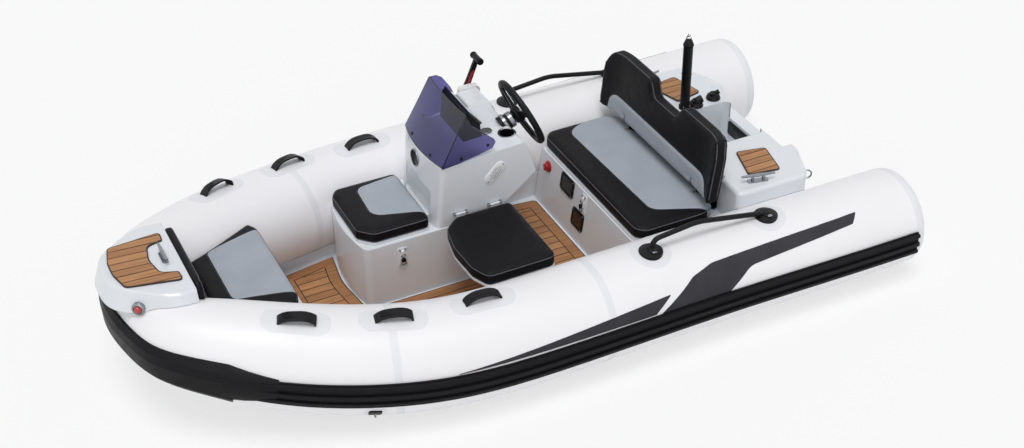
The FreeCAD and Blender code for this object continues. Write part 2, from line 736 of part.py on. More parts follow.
node("console", console)

# Tinted windscreen: a bowed front panel between two side wings
screen_foot = console_top - 8
foot_half = (console_port - console_side) / 2 + 1
head_half = foot_half - 10


def bowed_ring(x, bulge, half, z):
    # A bent strip of the panel's thickness, seen from above
    ends = []
    for back in (0, -screen_thick * 1.3):
        ends.append([V(x + back, middle - half, z), V(x + bulge + back, middle, z), V(x + back, middle + half, z)])
    outer = Part.Arc(*ends[0]).toShape()
    inner = Part.Arc(*ends[1]).toShape()
    close = [Part.LineSegment(ends[0][k], ends[1][k]).toShape() for k in (0, 2)]
    return Part.Wire([outer, close[1], inner, close[0]])


front_panel = Part.makeLoft([bowed_ring(1527, 26, foot_half, screen_foot), bowed_ring(1408, 10, head_half, screen_top)],
                            True, True)


def wing(points, side):
    # A flat panel beside the console from (x, z) corners, leaning in to the front panel's edge
    y = console_port + 3 if side > 0 else console_side - 3
    lean = -side * 10 / (screen_top - screen_foot)
    flat = [V(x, y + lean * (z - screen_foot), z) for x, z in points]
    return Part.Face(Part.makePolygon(flat + [flat[0]])).extrude(V(0, -side * screen_thick, 0))


port_wing = wing([(1526, screen_foot - 6), (1410, screen_top - 2), (1396, 824), (1380, 790), (1284, 704), (1278, 690),
                  (1294, 664), (1310, 660), (1440, 634)], 1)
side_wing = wing([(1526, screen_foot - 6), (1410, screen_top - 2), (1376, 842), (1350, 826), (1312, 768), (1284, 704),
                  (1278, 690), (1294, 664), (1310, 660), (1440, 634)], -1)
screen = front_panel.fuse([port_wing, side_wing]).cut(console)
node("windscreen", largest(screen))

# Fittings on the console
hood = wedge([(pod_front + 4, pod_top - 16), (board_front, board_top - 8), (board_front + 12, board_top - 14),
              (board_front + 26, console_top - 2), (pod_front - 2, console_top - 2)], console_side + 14, board_port - 4)
node("dash_hood", largest(hood.cut([console, screen])))
board = wedge([(pod_front - 4, pod_top - 20), (board_front - 2, board_top), (board_front + 4, board_top - 7),
               (pod_front + 2, pod_top - 27)], console_side + 12, board_port)
board = board.cut([console, hood, screen])
gauge = Part.makeCylinder(24, 10, V(1246, -158, console_top - 4)).cut(console)
node("dash_glass", Part.makeCompound([largest(board), largest(gauge.cut(hood))]))
face_way = V(pod_back - console_back - 14, 0, pod_top - console_top + 4).normalize()
face_out = V(-face_way.z, 0, face_way.x)
keys = [seated(tablet(16, 34, 10, 4), V((console_back + 14 + pod_back) / 2, console_side + 16 + i * 21,
               (console_top - 4 + pod_top) / 2) - face_out * 3, V(0, 1, 0), face_out) for i in range(6)]
node("rocker_switches", Part.makeCompound([largest(k.cut(console)) for k in keys]))
cup = Part.makeCylinder(cup_radius - 0.2, 56, V(cup_place, cup_side, console_top - 57)).fuse(
    Part.makeCylinder(cup_radius + 5, 9, V(cup_place, cup_side, console_top - 3)))
cup = cup.cut([Part.makeCylinder(cup_radius - 4, 90, V(cup_place, cup_side, console_top - 52)), console])
node("cup_holder", largest(cup))
vent_side = seated(tablet(88, 62, 6, 30), V(1287, console_port, 540), V(-1, 0, 0), V(0, 1, 0))
vent_side = vent_side.cut([block(1260, 1314, console_port + 3, console_port + 9, z, z + 4)
                           for z in (519, 529, 539, 549, 559)])
slope_front = V(console_front - console_head, 0, console_top - 8 - pedestal_top)
front_out = V(slope_front.z, 0, slope_front.x).normalize()
vent_height = 565
vent_front = console_front + console_bulge - 1.5
vent_front -= (console_front - console_head) * (vent_height - pedestal_top) / (console_top - pedestal_top)
vent_spot = V(vent_front, middle - 38, vent_height)
vent_round = seated(Part.makeCylinder(38, 7, V(0, 0, -3)), vent_spot, V(0, 1, 0), front_out)
vent_round = vent_round.cut([seated(tablet(46, 4, 9, 1), vent_spot + V(0, 0, z) + front_out * 2,
                                    V(0, 1, 0), front_out) for z in (-20, -10, 0, 10, 20)])
node("console_vents", Part.makeCompound([vent_side, largest(vent_round.cut(console))]))

# Helm: bezel and shaft fixed to the console, wheel running on the shaft
tilt = math.radians(wheel_tilt)
wheel_centre = V(wheel_place, wheel_side, wheel_height)
helm_axis = V(-math.cos(tilt), 0, math.sin(tilt))
bezel_root = wheel_centre - helm_axis * 110
bezel = Part.makeCone(44, 30, 64, bezel_root, helm_axis)
bezel = bezel.fuse(Part.makeCylinder(shaft_radius, 102, bezel_root, helm_axis)).cut(console)
node("helm_bezel", largest(bezel))
rim = Part.makeTorus(wheel_radius, wheel_grip, V(0, 0, 0), V(0, 0, 1))
hub = Part.makeCylinder(38, 26, V(0, 0, -30)).fuse(Part.makeCone(30, 38, 10, V(0, 0, -40)))
spokes = []
for angle in (90, 210, 330):
    inner = Part.makePolygon([V(24, -20, -24), V(24, 20, -24), V(24, 20, -14), V(24, -20, -14), V(24, -20, -24)])
    outer = Part.makePolygon([V(wheel_radius, -12, -5), V(wheel_radius, 12, -5), V(wheel_radius, 12, 4),
                              V(wheel_radius, -12, 4), V(wheel_radius, -12, -5)])
    spoke = Part.makeLoft([inner, outer], True, True)
    spoke.rotate(V(0, 0, 0), V(0, 0, 1), angle)
    spokes.append(spoke)
wheel = rim.fuse([hub] + spokes).cut(Part.makeCylinder(shaft_radius + running_clear, 60, V(0, 0, -66)))
node("steering_wheel", seated(wheel, wheel_centre, V(0, 1, 0), helm_axis))

# Throttle control on the side of the console
lever_foot = V(1216, console_side - 34, 690)
throttle_box = outline_face([(1168, console_side, 626), (1262, console_side, 626), (1262, console_side, 732),
                             (1168, console_side, 732)], 18).extrude(V(0, -34, 0))
node("throttle_box", largest(throttle_box.fuse(Part.makeCylinder(26, 10, lever_foot, V(0, -1, 0))).cut(console)))
arm_foot = [V(1202, -430, 690), V(1230, -430, 690), V(1230, -442, 690), V(1202, -442, 690), V(1202, -430, 690)]
arm_head = [V(1150, -420, 838), V(1172, -420, 838), V(1172, -434, 838), V(1150, -434, 838), V(1150, -420, 838)]
lever = Part.makeLoft([Part.makePolygon(arm_foot), Part.makePolygon(arm_head)], True, True)
lever = lever.fuse([Part.makeCylinder(14, 80, V(1160, -464, 842), V(0, 1, 0)),
                    Part.makeCylinder(22, 12, lever_foot + V(0, -10.3, 0), V(0, -1, 0))])
node("throttle_lever", lever)


# Barrel hinges: moving knuckles around fixed pins held between ears
def barrel_hinge(centre, axis, length, radius, leaf, ear_root):
    knuckle = Part.makeCylinder(radius, length, centre - axis * (length / 2), axis).fuse(leaf)
    bore = Part.makeCylinder(pin_radius + running_clear, length + 2, centre - axis * (length / 2 + 1), axis)
    pin = Part.makeCylinder(pin_radius, length + 2 * ear_width + 2, centre - axis * (length / 2 + ear_width + 1), axis)
    for way in (1, -1):
        side = centre + axis * (way * (length / 2 + 1))
        boss = Part.makeCylinder(radius, ear_width, side, axis * way)
        foot = ear_root.copy()
        foot.translate(side + axis * (way * ear_width / 2) - centre)
        pin = pin.fuse([boss, foot])
    return knuckle.cut(bore), pin


# Front seat on its hinged lid
seat_outline = [
    (seat_back, seat_side), (seat_front - 30, seat_side), (seat_front, seat_side + 40), (seat_front, seat_port - 58),
    (seat_front - 56, seat_port), (seat_back, seat_port),
]
seat_board = plate("seat_lid_board", "XY", seat_outline, [10, 16, 16, 16, 16, 10], pedestal_top + lid_gap,
                   "Sizes.lid_thick", keep=False)
seat_hinge_axis = V(0, seat_side - 6, pedestal_top + lid_gap + lid_thick / 2)
seat_leaves = []
seat_pins = []
for x in (1646, 1792):
    centre = seat_hinge_axis + V(x, 0, 0)
    leaf = block(x - 20, x + 20, seat_side - 6, seat_side + 2, centre.z - 2, centre.z + 2)
    root = block(x - ear_width / 2, x + ear_width / 2, centre.y - 4.5, centre.y + 4.5, pedestal_top, centre.z)
    knuckle, pin = barrel_hinge(centre, V(1, 0, 0), 40, 4.5, leaf, root)
    seat_leaves.append(knuckle)
    seat_pins.append(pin)
node("seat_lid", seat_board.Shape.fuse(seat_leaves))
plate("seat_cushion", "XY", seat_outline, [16, 22, 22, 22, 22, 16], pedestal_top + lid_gap + lid_thick + cushion_gap,
      "Sizes.seat_cushion_thick", 13)

# Fold-up side seat, its board and the hinge on the console
side_outline = [
    (side_seat_back, side_seat_inner), (side_seat_front - 96, side_seat_inner),
    (side_seat_front - 26, side_seat_inner + 56), (side_seat_front, side_seat_inner + 190),
    (side_seat_front - 6, side_seat_outer - 84), (side_seat_front - 40, side_seat_outer),
    (side_seat_back, side_seat_outer),
]
side_board = plate("side_seat_board_pad", "XY", side_outline, [14, 30, 60, 90, 60, 24, 26], side_seat_under,
                   "Sizes.lid_thick", keep=False)
side_hinge_top = side_seat_under + lid_thick + cushion_gap + side_cushion_thick + 6
side_leaves = []
side_pins = []
for x in (1292, 1452):
    centre = V(x, hinge_stand, side_hinge_top)
    leaf = block(x - 22, x + 22, hinge_stand + 0.4, hinge_stand + 3.4, side_seat_under, side_hinge_top)
    leaf = leaf.fuse(block(x - 22, x + 22, hinge_stand + 0.4, side_seat_inner + 10, side_seat_under,
                           side_seat_under + lid_thick))
    root = block(x - ear_width / 2, x + ear_width / 2, console_port, hinge_stand, side_hinge_top - 5,
                 side_hinge_top + 5)
    knuckle, pin = barrel_hinge(centre, V(1, 0, 0), 44, 5, leaf, root)
    side_leaves.append(knuckle)
    side_pins.append(pin)
node("side_seat_board", side_board.Shape.fuse(side_leaves))
plate("side_seat_cushion", "XY", side_outline, [16, 32, 60, 90, 60, 30, 30],
      side_seat_under + lid_thick + cushion_gap, "Sizes.side_cushion_thick", 12)

# Bow locker lid hinged aft, its cushion, and the bolster behind the step
bow_lid_under = bow_box_top + lid_gap
bow_hinge = V(bow_cushion_back - 8, 0, bow_lid_under + lid_thick / 2)
bow_outline = [
    (bow_cushion_back, 90 - bow_cushion_half), (bow_cushion_back + 46, -bow_cushion_half),
    (bow_cushion_front, -bow_cushion_nose_half), (bow_cushion_front, bow_cushion_nose_half),
    (bow_cushion_back + 46, bow_cushion_half), (bow_cushion_back, bow_cushion_half - 90),
]
bow_board = outline_face([(x, y * 0.97, bow_lid_under) for x, y in bow_outline], 20).extrude(V(0, 0, lid_thick))
bow_board = largest(bow_board.cut(tube_body(lid_tube_gap)))
bow_leaves = []
bow_pins = []
for y in (-64, 64):
    centre = bow_hinge + V(0, y, 0)
    leaf = block(bow_hinge.x, bow_cushion_back + 6, y - 20, y + 20, centre.z - 2, centre.z + 2)
    root = block(centre.x - 4.5, centre.x + 4.5, y - ear_width / 2, y + ear_width / 2, bow_box_top, centre.z)
    knuckle, pin = barrel_hinge(centre, V(0, 1, 0), 40, 4.5, leaf, root)
    bow_leaves.append(knuckle)
    bow_pins.append(pin)
node("bow_lid", bow_board.fuse(bow_leaves))
bow_cushion = outline_face([(x, y, bow_lid_under + lid_thick + cushion_gap) for x, y in bow_outline],
                           [50, 60, 46, 46, 60, 50]).extrude(V(0, 0, bow_cushion_thick))
bow_cushion = bow_cushion.makeFillet(12, [e for e in bow_cushion.Edges
                                          if e.BoundBox.ZMin > bow_lid_under + bow_cushion_thick])
node("bow_cushion", largest(bow_cushion.cut(tube_body(lid_tube_gap + 1))))
bolster_back = step_back - bolster_thick - 1
bolster_top = step_top + bolster_stand
bolster_under = bolster_top - bolster_height
bolster = outline_face([
    (bolster_back, -bolster_end, bolster_under), (bolster_back, -bolster_end, bolster_under + 36),
    (bolster_back, -bolster_half, bolster_top), (bolster_back, bolster_half, bolster_top),
    (bolster_back, bolster_end, bolster_under + 36), (bolster_back, bolster_end, bolster_under),
], [14, 24, 60, 60, 24, 14]).extrude(V(bolster_thick, 0, 0))
bolster = bolster.makeFillet(11, [e for e in bolster.Edges if e.BoundBox.XLength < 0.01])
node("bow_bolster", largest(bolster.cut(tube_body(3))))

# Bench lid, cushion and the arms that hinge it on the stern moulding
bench_outline = [
    (bench_cushion_back, 30 - bench_cushion_half), (bench_cushion_back + 60, -bench_cushion_half),
    (bench_cushion_front - 34, -bench_cushion_half), (bench_cushion_front, 34 - bench_cushion_half),
    (bench_cushion_front, bench_cushion_half - 34), (bench_cushion_front - 34, bench_cushion_half),
    (bench_cushion_back + 60, bench_cushion_half), (bench_cushion_back, bench_cushion_half - 30),
]
bench_lid_under = bench_top + lid_gap
bench_board = plate("bench_lid_board", "XY", [
    (bench_cushion_back - 28, 16 - bench_half), (bench_cushion_front + 6, 16 - bench_half),
    (bench_cushion_front + 6, bench_half - 16), (bench_cushion_back - 28, bench_half - 16),
], 22, bench_lid_under, "Sizes.lid_thick")
nodes["bench_lid"] = nodes.pop("bench_lid_board")
bench_cushion_under = bench_lid_under + lid_thick + cushion_gap
bench_pad = plate("bench_cushion_pad", "XY", bench_outline, 24, bench_cushion_under, "Sizes.bench_cushion_thick", 14,
                  keep=False)
notches = [block(bench_cushion_back - 9, bench_cushion_back + 24, y - 12, y + 12, bench_cushion_under - 2,
                 bench_cushion_under + bench_cushion_thick + 9) for y in (-rest_bracket_side, rest_bracket_side)]
node("bench_cushion", bench_pad.Shape.cut(notches))
bench_hinge = V(stern_front + 9, 0, stern_top + 8)
rest_pivot = V(rest_place - 30, 0, rest_foot + 13)
arms = []
bench_pins = []
lid_face = bench_lid_under + lid_thick
for y in (-352, 352):
    centre = bench_hinge + V(0, y, 0)
    arm = block(centre.x - 2, centre.x + 2, y - 20, y + 20, lid_face, centre.z)
    foot = block(centre.x - 2, bench_cushion_back - 3, y - 20, y + 20, lid_face, lid_face + 4)
    root = block(centre.x - 26, centre.x, y - ear_width / 2, y + ear_width / 2, stern_top - 4, centre.z)
    knuckle, pin = barrel_hinge(centre, V(0, 1, 0), 40, 5, arm.fuse(foot), root)
    arms.append(knuckle)
    bench_pins.append(pin.cut(stern))
brackets = []
for y in (-rest_bracket_side, rest_bracket_side):
    ear = wedge([(bench_cushion_back - 26, lid_face), (bench_cushion_back - 4, lid_face),
                 (rest_pivot.x + 10, rest_pivot.z), (rest_pivot.x - 10, rest_pivot.z)], y - 4, y + 4)
    ear = ear.fuse([Part.makeCylinder(10, 8, V(rest_pivot.x, y - 4, rest_pivot.z), V(0, 1, 0)),
                    Part.makeCylinder(pin_radius + 1.5, 44, V(rest_pivot.x, y - 22, rest_pivot.z), V(0, 1, 0)),
                    block(bench_cushion_back - 30, bench_cushion_back - 3, y - 18, y + 18, lid_face, lid_face + 5)])
    brackets.append(ear)
node("bench_brackets", Part.makeCompound(arms + brackets))

# Folding backrest with forward-swept ends and a dipped top edge
rest_length = (rest_head - rest_foot) / math.cos(math.radians(rest_lean))
sweep_start = rest_half - 110
front_line = []
back_line = []
for k in range(13):
    y = -rest_half + k * rest_half / 6
    swept_by = rest_wrap * max(0.0, (abs(y) - sweep_start) / (rest_half - sweep_start)) ** 1.4
    front_line.append(V(rest_place + swept_by, y, rest_foot))
    back_line.append(V(rest_place - rest_thick + swept_by, y, rest_foot))
front_edge = Part.BSplineCurve()
front_edge.interpolate(front_line)
back_edge = Part.BSplineCurve()
back_edge.interpolate(back_line)
rest_wire = Part.Wire([front_edge.toShape(), Part.LineSegment(front_line[-1], back_line[-1]).toShape(),
                       back_edge.toShape(), Part.LineSegment(back_line[0], front_line[0]).toShape()])
rest_lift = V(-math.tan(math.radians(rest_lean)) * (rest_head - rest_foot), 0, rest_head - rest_foot)
rest = Part.Face(rest_wire).extrude(rest_lift)
rest_front_view = outline_face([
    (300, -rest_half - 2, rest_foot - 1), (300, rest_half + 2, rest_foot - 1), (300, rest_half + 2, rest_head - 70),
    (300, rest_half - 34, rest_head), (300, rest_dip_half + 45, rest_head), (300, rest_dip_half, rest_head - rest_dip),
    (300, -rest_dip_half, rest_head - rest_dip), (300, -rest_dip_half - 45, rest_head),
    (300, 34 - rest_half, rest_head), (300, -rest_half - 2, rest_head - 70),
], [30, 30, 60, 30, 30, 22, 22, 30, 30, 60]).extrude(V(300, 0, 0))
rest = rest.common(rest_front_view)
cuts = []
for y in (-rest_bracket_side, rest_bracket_side):
    cuts.append(block(rest_place - rest_thick - 20, rest_place + 30, y - 12, y + 12, rest_foot - 2,
                      rest_pivot.z + 18))
    cuts.append(Part.makeCylinder(pin_radius + 1.5 + running_clear, 48, V(rest_pivot.x, y - 24, rest_pivot.z),
                                  V(0, 1, 0)))
node("backrest", rest.cut(cuts))
node("hinge_pins", Part.makeCompound(seat_pins + side_pins + bow_pins + bench_pins))

# Grab rails on the stern quarters
rail_side = stern_breadth
rail_points = [
    (rail_front, rail_side, 426), (rail_front - 12, rail_side, 484), (rail_front - 215, rail_side, rail_head),
    (rail_back + 30, rail_side, 447), (rail_back, rail_side, 426),
]
rail = bent_pipe(rail_points, [34, 260, 30], rail_radius)
for x in (rail_front, rail_back):
    crown = V(x, rail_side, tube_height + tube_radius)
    rail = rail.fuse([Part.makeCylinder(rail_foot_radius, 40, crown - V(0, 0, 33)),
                      Part.makeCone(rail_foot_radius - 4, rail_foot_radius * 0.62, 5, crown + V(0, 0, 7)),
                      Part.makeCone(20, rail_radius + 2, 12, crown + V(0, 0, 12))])
rail = largest(rail.cut(fat_tube))
node("grab_rails", Part.makeCompound([rail, mirrored(rail)]), neat=False)


# Lifting handles along both tubes
def lift_handle(x, degrees):
    t = place_on_path(x, 1)
    p, out, r = station(t)
    foot = on_tube(t, degrees, 0)
    normal = (foot - p).normalize()
    along = centreline.tangent(t)[0]
    along = (along - normal * along.dot(normal)).normalize()
    h = handle_length / 2
    arch = [(-h, -16), (-h, 6)]
    arch += [(u * h, 6 + (handle_rise - 6) * (1 - abs(u) ** 3.2)) for u in (-0.9, -0.75, -0.5, -0.25, 0, 0.25, 0.5, 0.75, 0.9)]
    arch += [(h, 6), (h, -16), (h - handle_thick, -16), (h - handle_thick, 4)]
    arch += [(u * (h - handle_thick), 4 + (handle_rise - handle_thick - 4) * (1 - abs(u) ** 3.2))
             for u in (0.9, 0.75, 0.5, 0.25, 0, -0.25, -0.5, -0.75, -0.9)]
    arch += [(handle_thick - h, 4), (handle_thick - h, -16)]
    ring = [V(u, v, 0) for u, v in arch]
    bar = Part.Face(Part.makePolygon(ring + [ring[0]])).extrude(V(0, 0, handle_width))
    bar.translate(V(0, 0, -handle_width / 2))
    up = normal
    side_way = along.cross(up)
    frame = FreeCAD.Matrix(along.x, up.x, side_way.x, foot.x, along.y, up.y, side_way.y, foot.y,
                           along.z, up.z, side_way.z, foot.z, 0, 0, 0, 1)
    bar.Placement = FreeCAD.Placement(frame)
    return largest(bar.cut(fat_tube))


handles = [lift_handle(x, degrees) for x, degrees in ((2340, 75), (1998, 79), (1644, 86))]
node("lift_handles", Part.makeCompound(handles + [mirrored(h) for h in handles]))


# Horn cleats on the side decks and the bow step
def cleat(origin, along, length):
    foot = tablet(length * 0.62, 26, 6, 10)
    posts = [Part.makeCylinder(6.5, 26, V(x, 0, 3)) for x in (-length * 0.16, length * 0.16)]
    horns = [Part.makeCone(8, 5, length / 2, V(0, 0, 30), V(way, 0, 0)) for way in (1, -1)]
    return seated(foot.fuse(posts + horns), origin, along, V(0, 0, 1))


cleat_side = stern_half - 54
cleats = [cleat(V(268, cleat_side, stern_top), V(0.97, -0.22, 0).normalize(), 150),
          cleat(V(268, -cleat_side, stern_top), V(0.97, 0.22, 0).normalize(), 150),
          cleat(V(step_back + 58, 0, step_top + 4.6), V(0, 1, 0), 120)]
node("cleats", Part.makeCompound(cleats))

# Standing mooring rings at the stern corners
rings = []
for side in (1, -1):
    corner = V(12, side * (stern_half - 83), 400)
    out_way = V(-0.92, side * 0.39, 0).normalize()
    loop = Part.makeTorus(20, 3.5, corner + out_way * 20, V(0, 0, 1).cross(out_way))
    plate_back = seated(tablet(34, 44, 10, 8), corner - out_way * 4, V(0, 0, 1).cross(out_way), out_way)
    rings.append(plate_back.fuse(loop).cut(stern))
node("mooring_rings", Part.makeCompound([largest(r) for r in rings]))

# Navigation lights low on the bow step
housings = []
lenses = []
for side in (1, -1):
    out_way = V(0.55, side * 0.83, 0.1).normalize()
    across = V(0, 0, 1).cross(out_way).normalize()
    light = V(step_front - 76, side * (step_half_front + 64), step_top - 50)
    housing = seated(Part.makeCylinder(20, 44, V(0, 0, -34)), light, across, out_way).cut([nodes["bow_step"].Shape,
                                                                                          fat_tube])
    housings.append(largest(housing))
    dome = Part.makeSphere(15.5, V(0, 0, 10)).common(Part.makeBox(60, 60, 40, V(-30, -30, 10.2)))
    lenses.append(seated(dome, light, across, out_way))
node("nav_light_housings", Part.makeCompound(housings))
node("nav_lens_red", lenses[0])
node("nav_lens_green", lenses[1])

# Light mast and the boots for hoses and cables on the stern deck
mast = Part.makeCylinder(mast_radius, mast_head - stern_top - 30, V(mast_place, mast_side, stern_top + 0.2))
mast = mast.fuse([Part.makeCylinder(27, 14, V(mast_place, mast_side, stern_top + 0.2)),
                  Part.makeCylinder(14, 10, V(mast_place, mast_side, mast_head - 31)),
                  Part.makeCone(mast_radius + 3, 16, 22, V(mast_place, mast_side, mast_head - 22))])
node("light_mast", mast)
boot = Part.makeCone(26, 20, 30, V(176, -178, stern_top + 0.2)).fuse(
    Part.makeCylinder(18, 30, V(176, -178, stern_top + 22), V(-0.9, 0.1, 0.35)))
small_boot = Part.makeCone(26, 18, 30, V(72, -196, stern_top + 0.2)).fuse(
    Part.makeCylinder(11, 30, V(72, -196, stern_top + 22), V(-0.8, 0.3, 0.5)))
node("rigging_boots", Part.makeCompound([boot, small_boot]))

# Latches, inspection windows and the battery switch
bench_slope = V(bench_front_head - bench_front_foot, 0, bench_top - sole_top).normalize()
bench_out = V(bench_slope.z, 0, -bench_slope.x)


def bench_face(y, z):
    share = (z - sole_top) / (bench_top - sole_top)
    return V(bench_front_foot + (bench_front_head - bench_front_foot) * share, y, z)


def latch_on(origin, across, normal):
    keeper = tablet(42, 92, 5, 8).fuse([tablet(24, 34, 11, 5), Part.makeCylinder(9, 9, V(0, 26, 4))])
    return seated(keeper, origin, across, normal)


latches = [latch_on(V(1725, pedestal_port + 0.2, 250), V(-1, 0, 0), V(0, 1, 0)),
           latch_on(bench_face(-4, 236) + bench_out * 0.2, V(0, 1, 0), bench_out)]
node("latches", Part.makeCompound(latches))
panes = [seated(tablet(108, 78, 5, 12), bench_face(-157, 244) + bench_out * 0.2, V(0, 1, 0), bench_out),
         seated(tablet(92, 80, 5, 12), bench_face(-30, 140) + bench_out * 0.2, V(0, 1, 0), bench_out)]
node("inspection_windows", Part.makeCompound(panes))
switch = tablet(66, 66, 6, 20).fuse([Part.makeCylinder(21, 12, V(0, 0, 4)), tablet(12, 48, 26, 4)])
node("battery_switch", seated(switch, bench_face(-341, 236) + bench_out * 0.2, V(0, 1, 0), bench_out))

doc.recompute()
for name, piece in nodes.items():
    if "Invalid" in piece.State or "Error" in piece.State:
        raise RuntimeError(name + " did not rebuild")
    if piece.Shape.isNull() or not piece.Shape.isValid() or piece.Shape.Volume < 10:
        raise RuntimeError(name + " has no sound solid")
    piece.Shape.exportStep("parts/" + name + ".step")
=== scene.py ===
import bpy
import bmesh
import math
import numpy as np
from mathutils import Matrix, Vector
from mathutils.bvhtree import BVHTree
from mathutils.geometry import tessellate_polygon


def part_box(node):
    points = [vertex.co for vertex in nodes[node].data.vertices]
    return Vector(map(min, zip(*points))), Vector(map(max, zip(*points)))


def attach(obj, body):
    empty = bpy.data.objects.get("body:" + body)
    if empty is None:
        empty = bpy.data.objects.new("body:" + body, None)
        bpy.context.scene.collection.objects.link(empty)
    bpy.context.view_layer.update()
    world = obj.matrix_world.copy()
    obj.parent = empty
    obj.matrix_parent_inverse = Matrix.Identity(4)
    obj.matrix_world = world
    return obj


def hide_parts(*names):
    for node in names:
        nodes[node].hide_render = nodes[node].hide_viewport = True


# A rigid inflatable tender afloat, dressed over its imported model.
# Metres: +X forward, +Y port, +Z up, water at Z 0.
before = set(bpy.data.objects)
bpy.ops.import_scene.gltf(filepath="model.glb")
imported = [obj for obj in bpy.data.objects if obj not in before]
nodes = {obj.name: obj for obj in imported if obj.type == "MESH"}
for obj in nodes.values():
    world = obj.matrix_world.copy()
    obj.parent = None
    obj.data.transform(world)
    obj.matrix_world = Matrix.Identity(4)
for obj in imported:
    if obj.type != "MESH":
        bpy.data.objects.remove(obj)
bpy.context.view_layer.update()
scene = bpy.context.scene
MM = 0.001
TO_MM = 1000


# Colours and shader nodes
def colour(code):
    parts = [int(code[i:i + 2], 16) / 255 for i in (1, 3, 5)]
    return tuple(c / 12.92 if c <= 0.04045 else ((c + 0.055) / 1.055) ** 2.4 for c in parts) + (1.0,)


def add(tree, kind, settings=None, inputs=None):
    node = tree.nodes.new(kind if kind.startswith(("Geometry", "Function")) else "ShaderNode" + kind)
    for key, value in (settings or {}).items():
        setattr(node, key, value)
    for key, value in (inputs or {}).items():
        socket = node.inputs[key]
        if isinstance(value, bpy.types.NodeSocket):
            tree.links.new(value, socket)
        else:
            socket.default_value = value
    return node


def calc(tree, operation, *values):
    return add(tree, "Math", {"operation": operation}, dict(enumerate(values))).outputs[0]


def noise(tree, vector, scale, detail, **extra):
    inputs = {"Vector": vector, "Scale": scale, "Detail": detail, **extra}
    return add(tree, "TexNoise", None, inputs).outputs["Fac"]


def ranged(tree, value, low, high, from_low=0.3, from_high=0.7):
    """The value stretched from one range to another; noise mostly stays between 0.3 and 0.7."""
    inputs = {"Value": value, "From Min": from_low, "From Max": from_high, "To Min": low, "To Max": high}
    return add(tree, "MapRange", None, inputs).outputs["Result"]


def finish(name, look, code, roughness, **extra):
    """A material from its plain shader values and the function that draws its pattern."""
    material = bpy.data.materials.new(name)
    material.use_nodes = True
    tree = material.node_tree
    base = tree.nodes["Principled BSDF"]
    base.inputs["Base Color"].default_value = colour(code)
    base.inputs["Roughness"].default_value = roughness
    for key, value in extra.items():
        base.inputs[key.replace("_", " ")].default_value = value
    if look:
        look(tree, base, code)
    return material


def mottle(tree, base, code, scale, low, high, paint=None):
    """Varies the colour by a share of itself over patches 1/scale metres across."""
    spot = add(tree, "TexCoord").outputs["Object"]
    share = ranged(tree, noise(tree, spot, scale, 3.0), low, high)
    grey = add(tree, "CombineColor", None, {"Red": share, "Green": share, "Blue": share}).outputs["Color"]
    tint = add(tree, "Mix", {"data_type": "RGBA", "blend_type": "MULTIPLY"},
               {"Factor": 1.0, "A": colour(code) if paint is None else paint, "B": grey})
    tree.links.new(tint.outputs["Result"], base.inputs["Base Color"])
    return spot


def relief(tree, base, height, strength, distance, bevel=0.0):
    """Bumps the surface; a bevel in metres also softens its edges."""
    inputs = {"Height": height, "Strength": strength, "Distance": distance}
    if bevel:
        inputs["Normal"] = add(tree, "Bevel", {"samples": 6}, {"Radius": bevel}).outputs["Normal"]
    bump = add(tree, "Bump", None, inputs)
    tree.links.new(bump.outputs["Normal"], base.inputs["Normal"])


def rough_noise(tree, base, vector, scale, low, high):
    tree.links.new(ranged(tree, noise(tree, vector, scale, 4.0), low, high), base.inputs["Roughness"])


def grained(patches, bumps, rough, bevel=0.0):
    """A look from (scale, low, high) of the colour's patches, (scale, detail, strength, distance) of
    the bumps and (scale, low, high) of the roughness."""
    def look(tree, base, code):
        spot = mottle(tree, base, code, *patches) if patches else add(tree, "TexCoord").outputs["Object"]
        scale, detail, strength, distance = bumps
        relief(tree, base, noise(tree, spot, scale, detail), strength, distance, bevel)
        if rough:
            rough_noise(tree, base, spot, *rough)
    return look


gelcoat_look = grained((5.0, 0.97, 1.0), (26.0, 2.0, 0.05, 0.002), (14.0, 0.16, 0.26), 0.006)
rubber_look = grained((12.0, 0.8, 1.15), (500.0, 4.0, 0.15, 0.0005), (20.0, 0.40, 0.55))
plastic_look = grained((20.0, 0.9, 1.05), (900.0, 2.0, 0.18, 0.0004), (60.0, 0.38, 0.5), 0.0025)
steel_look = grained(None, (90.0, 5.0, 0.03, 0.0005), (120.0, 0.10, 0.22), 0.0015)
fine_look = grained(None, (300.0, 2.0, 0.04, 0.0003), None)


def fabric_look(tree, base, code):
    spot = mottle(tree, base, code, 3.0, 0.975, 1.0)
    bands = [add(tree, "TexWave", {"wave_type": "BANDS", "bands_direction": way},
                 {"Vector": spot, "Scale": 160.0}).outputs["Fac"] for way in ("X", "DIAGONAL")]
    relief(tree, base, calc(tree, "MULTIPLY", *bands), 0.05, 0.0004)
    rough_noise(tree, base, spot, 8.0, 0.36, 0.46)


def vinyl_look(tree, base, code):
    panel = add(tree, "Attribute", {"attribute_name": "inlay"}).outputs["Fac"]
    inside = ranged(tree, panel, 0.0, 1.0, 0.0002, 0.0009)
    paint = add(tree, "Mix", {"data_type": "RGBA"},
                {"Factor": inside, "A": colour(code), "B": colour(INLAY_GREY)}).outputs["Result"]
    spot = mottle(tree, base, code, 9.0, 0.90, 1.0, paint)
    grain = add(tree, "TexVoronoi", {"feature": "DISTANCE_TO_EDGE"}, {"Vector": spot, "Scale": 420.0})
    pebble = noise(tree, spot, 700.0, 3.0)
    height = calc(tree, "MULTIPLY_ADD", pebble, 0.3, grain.outputs["Distance"])
    relief(tree, base, height, 0.3, 0.0006)
    rough_noise(tree, base, spot, 30.0, 0.44, 0.56)


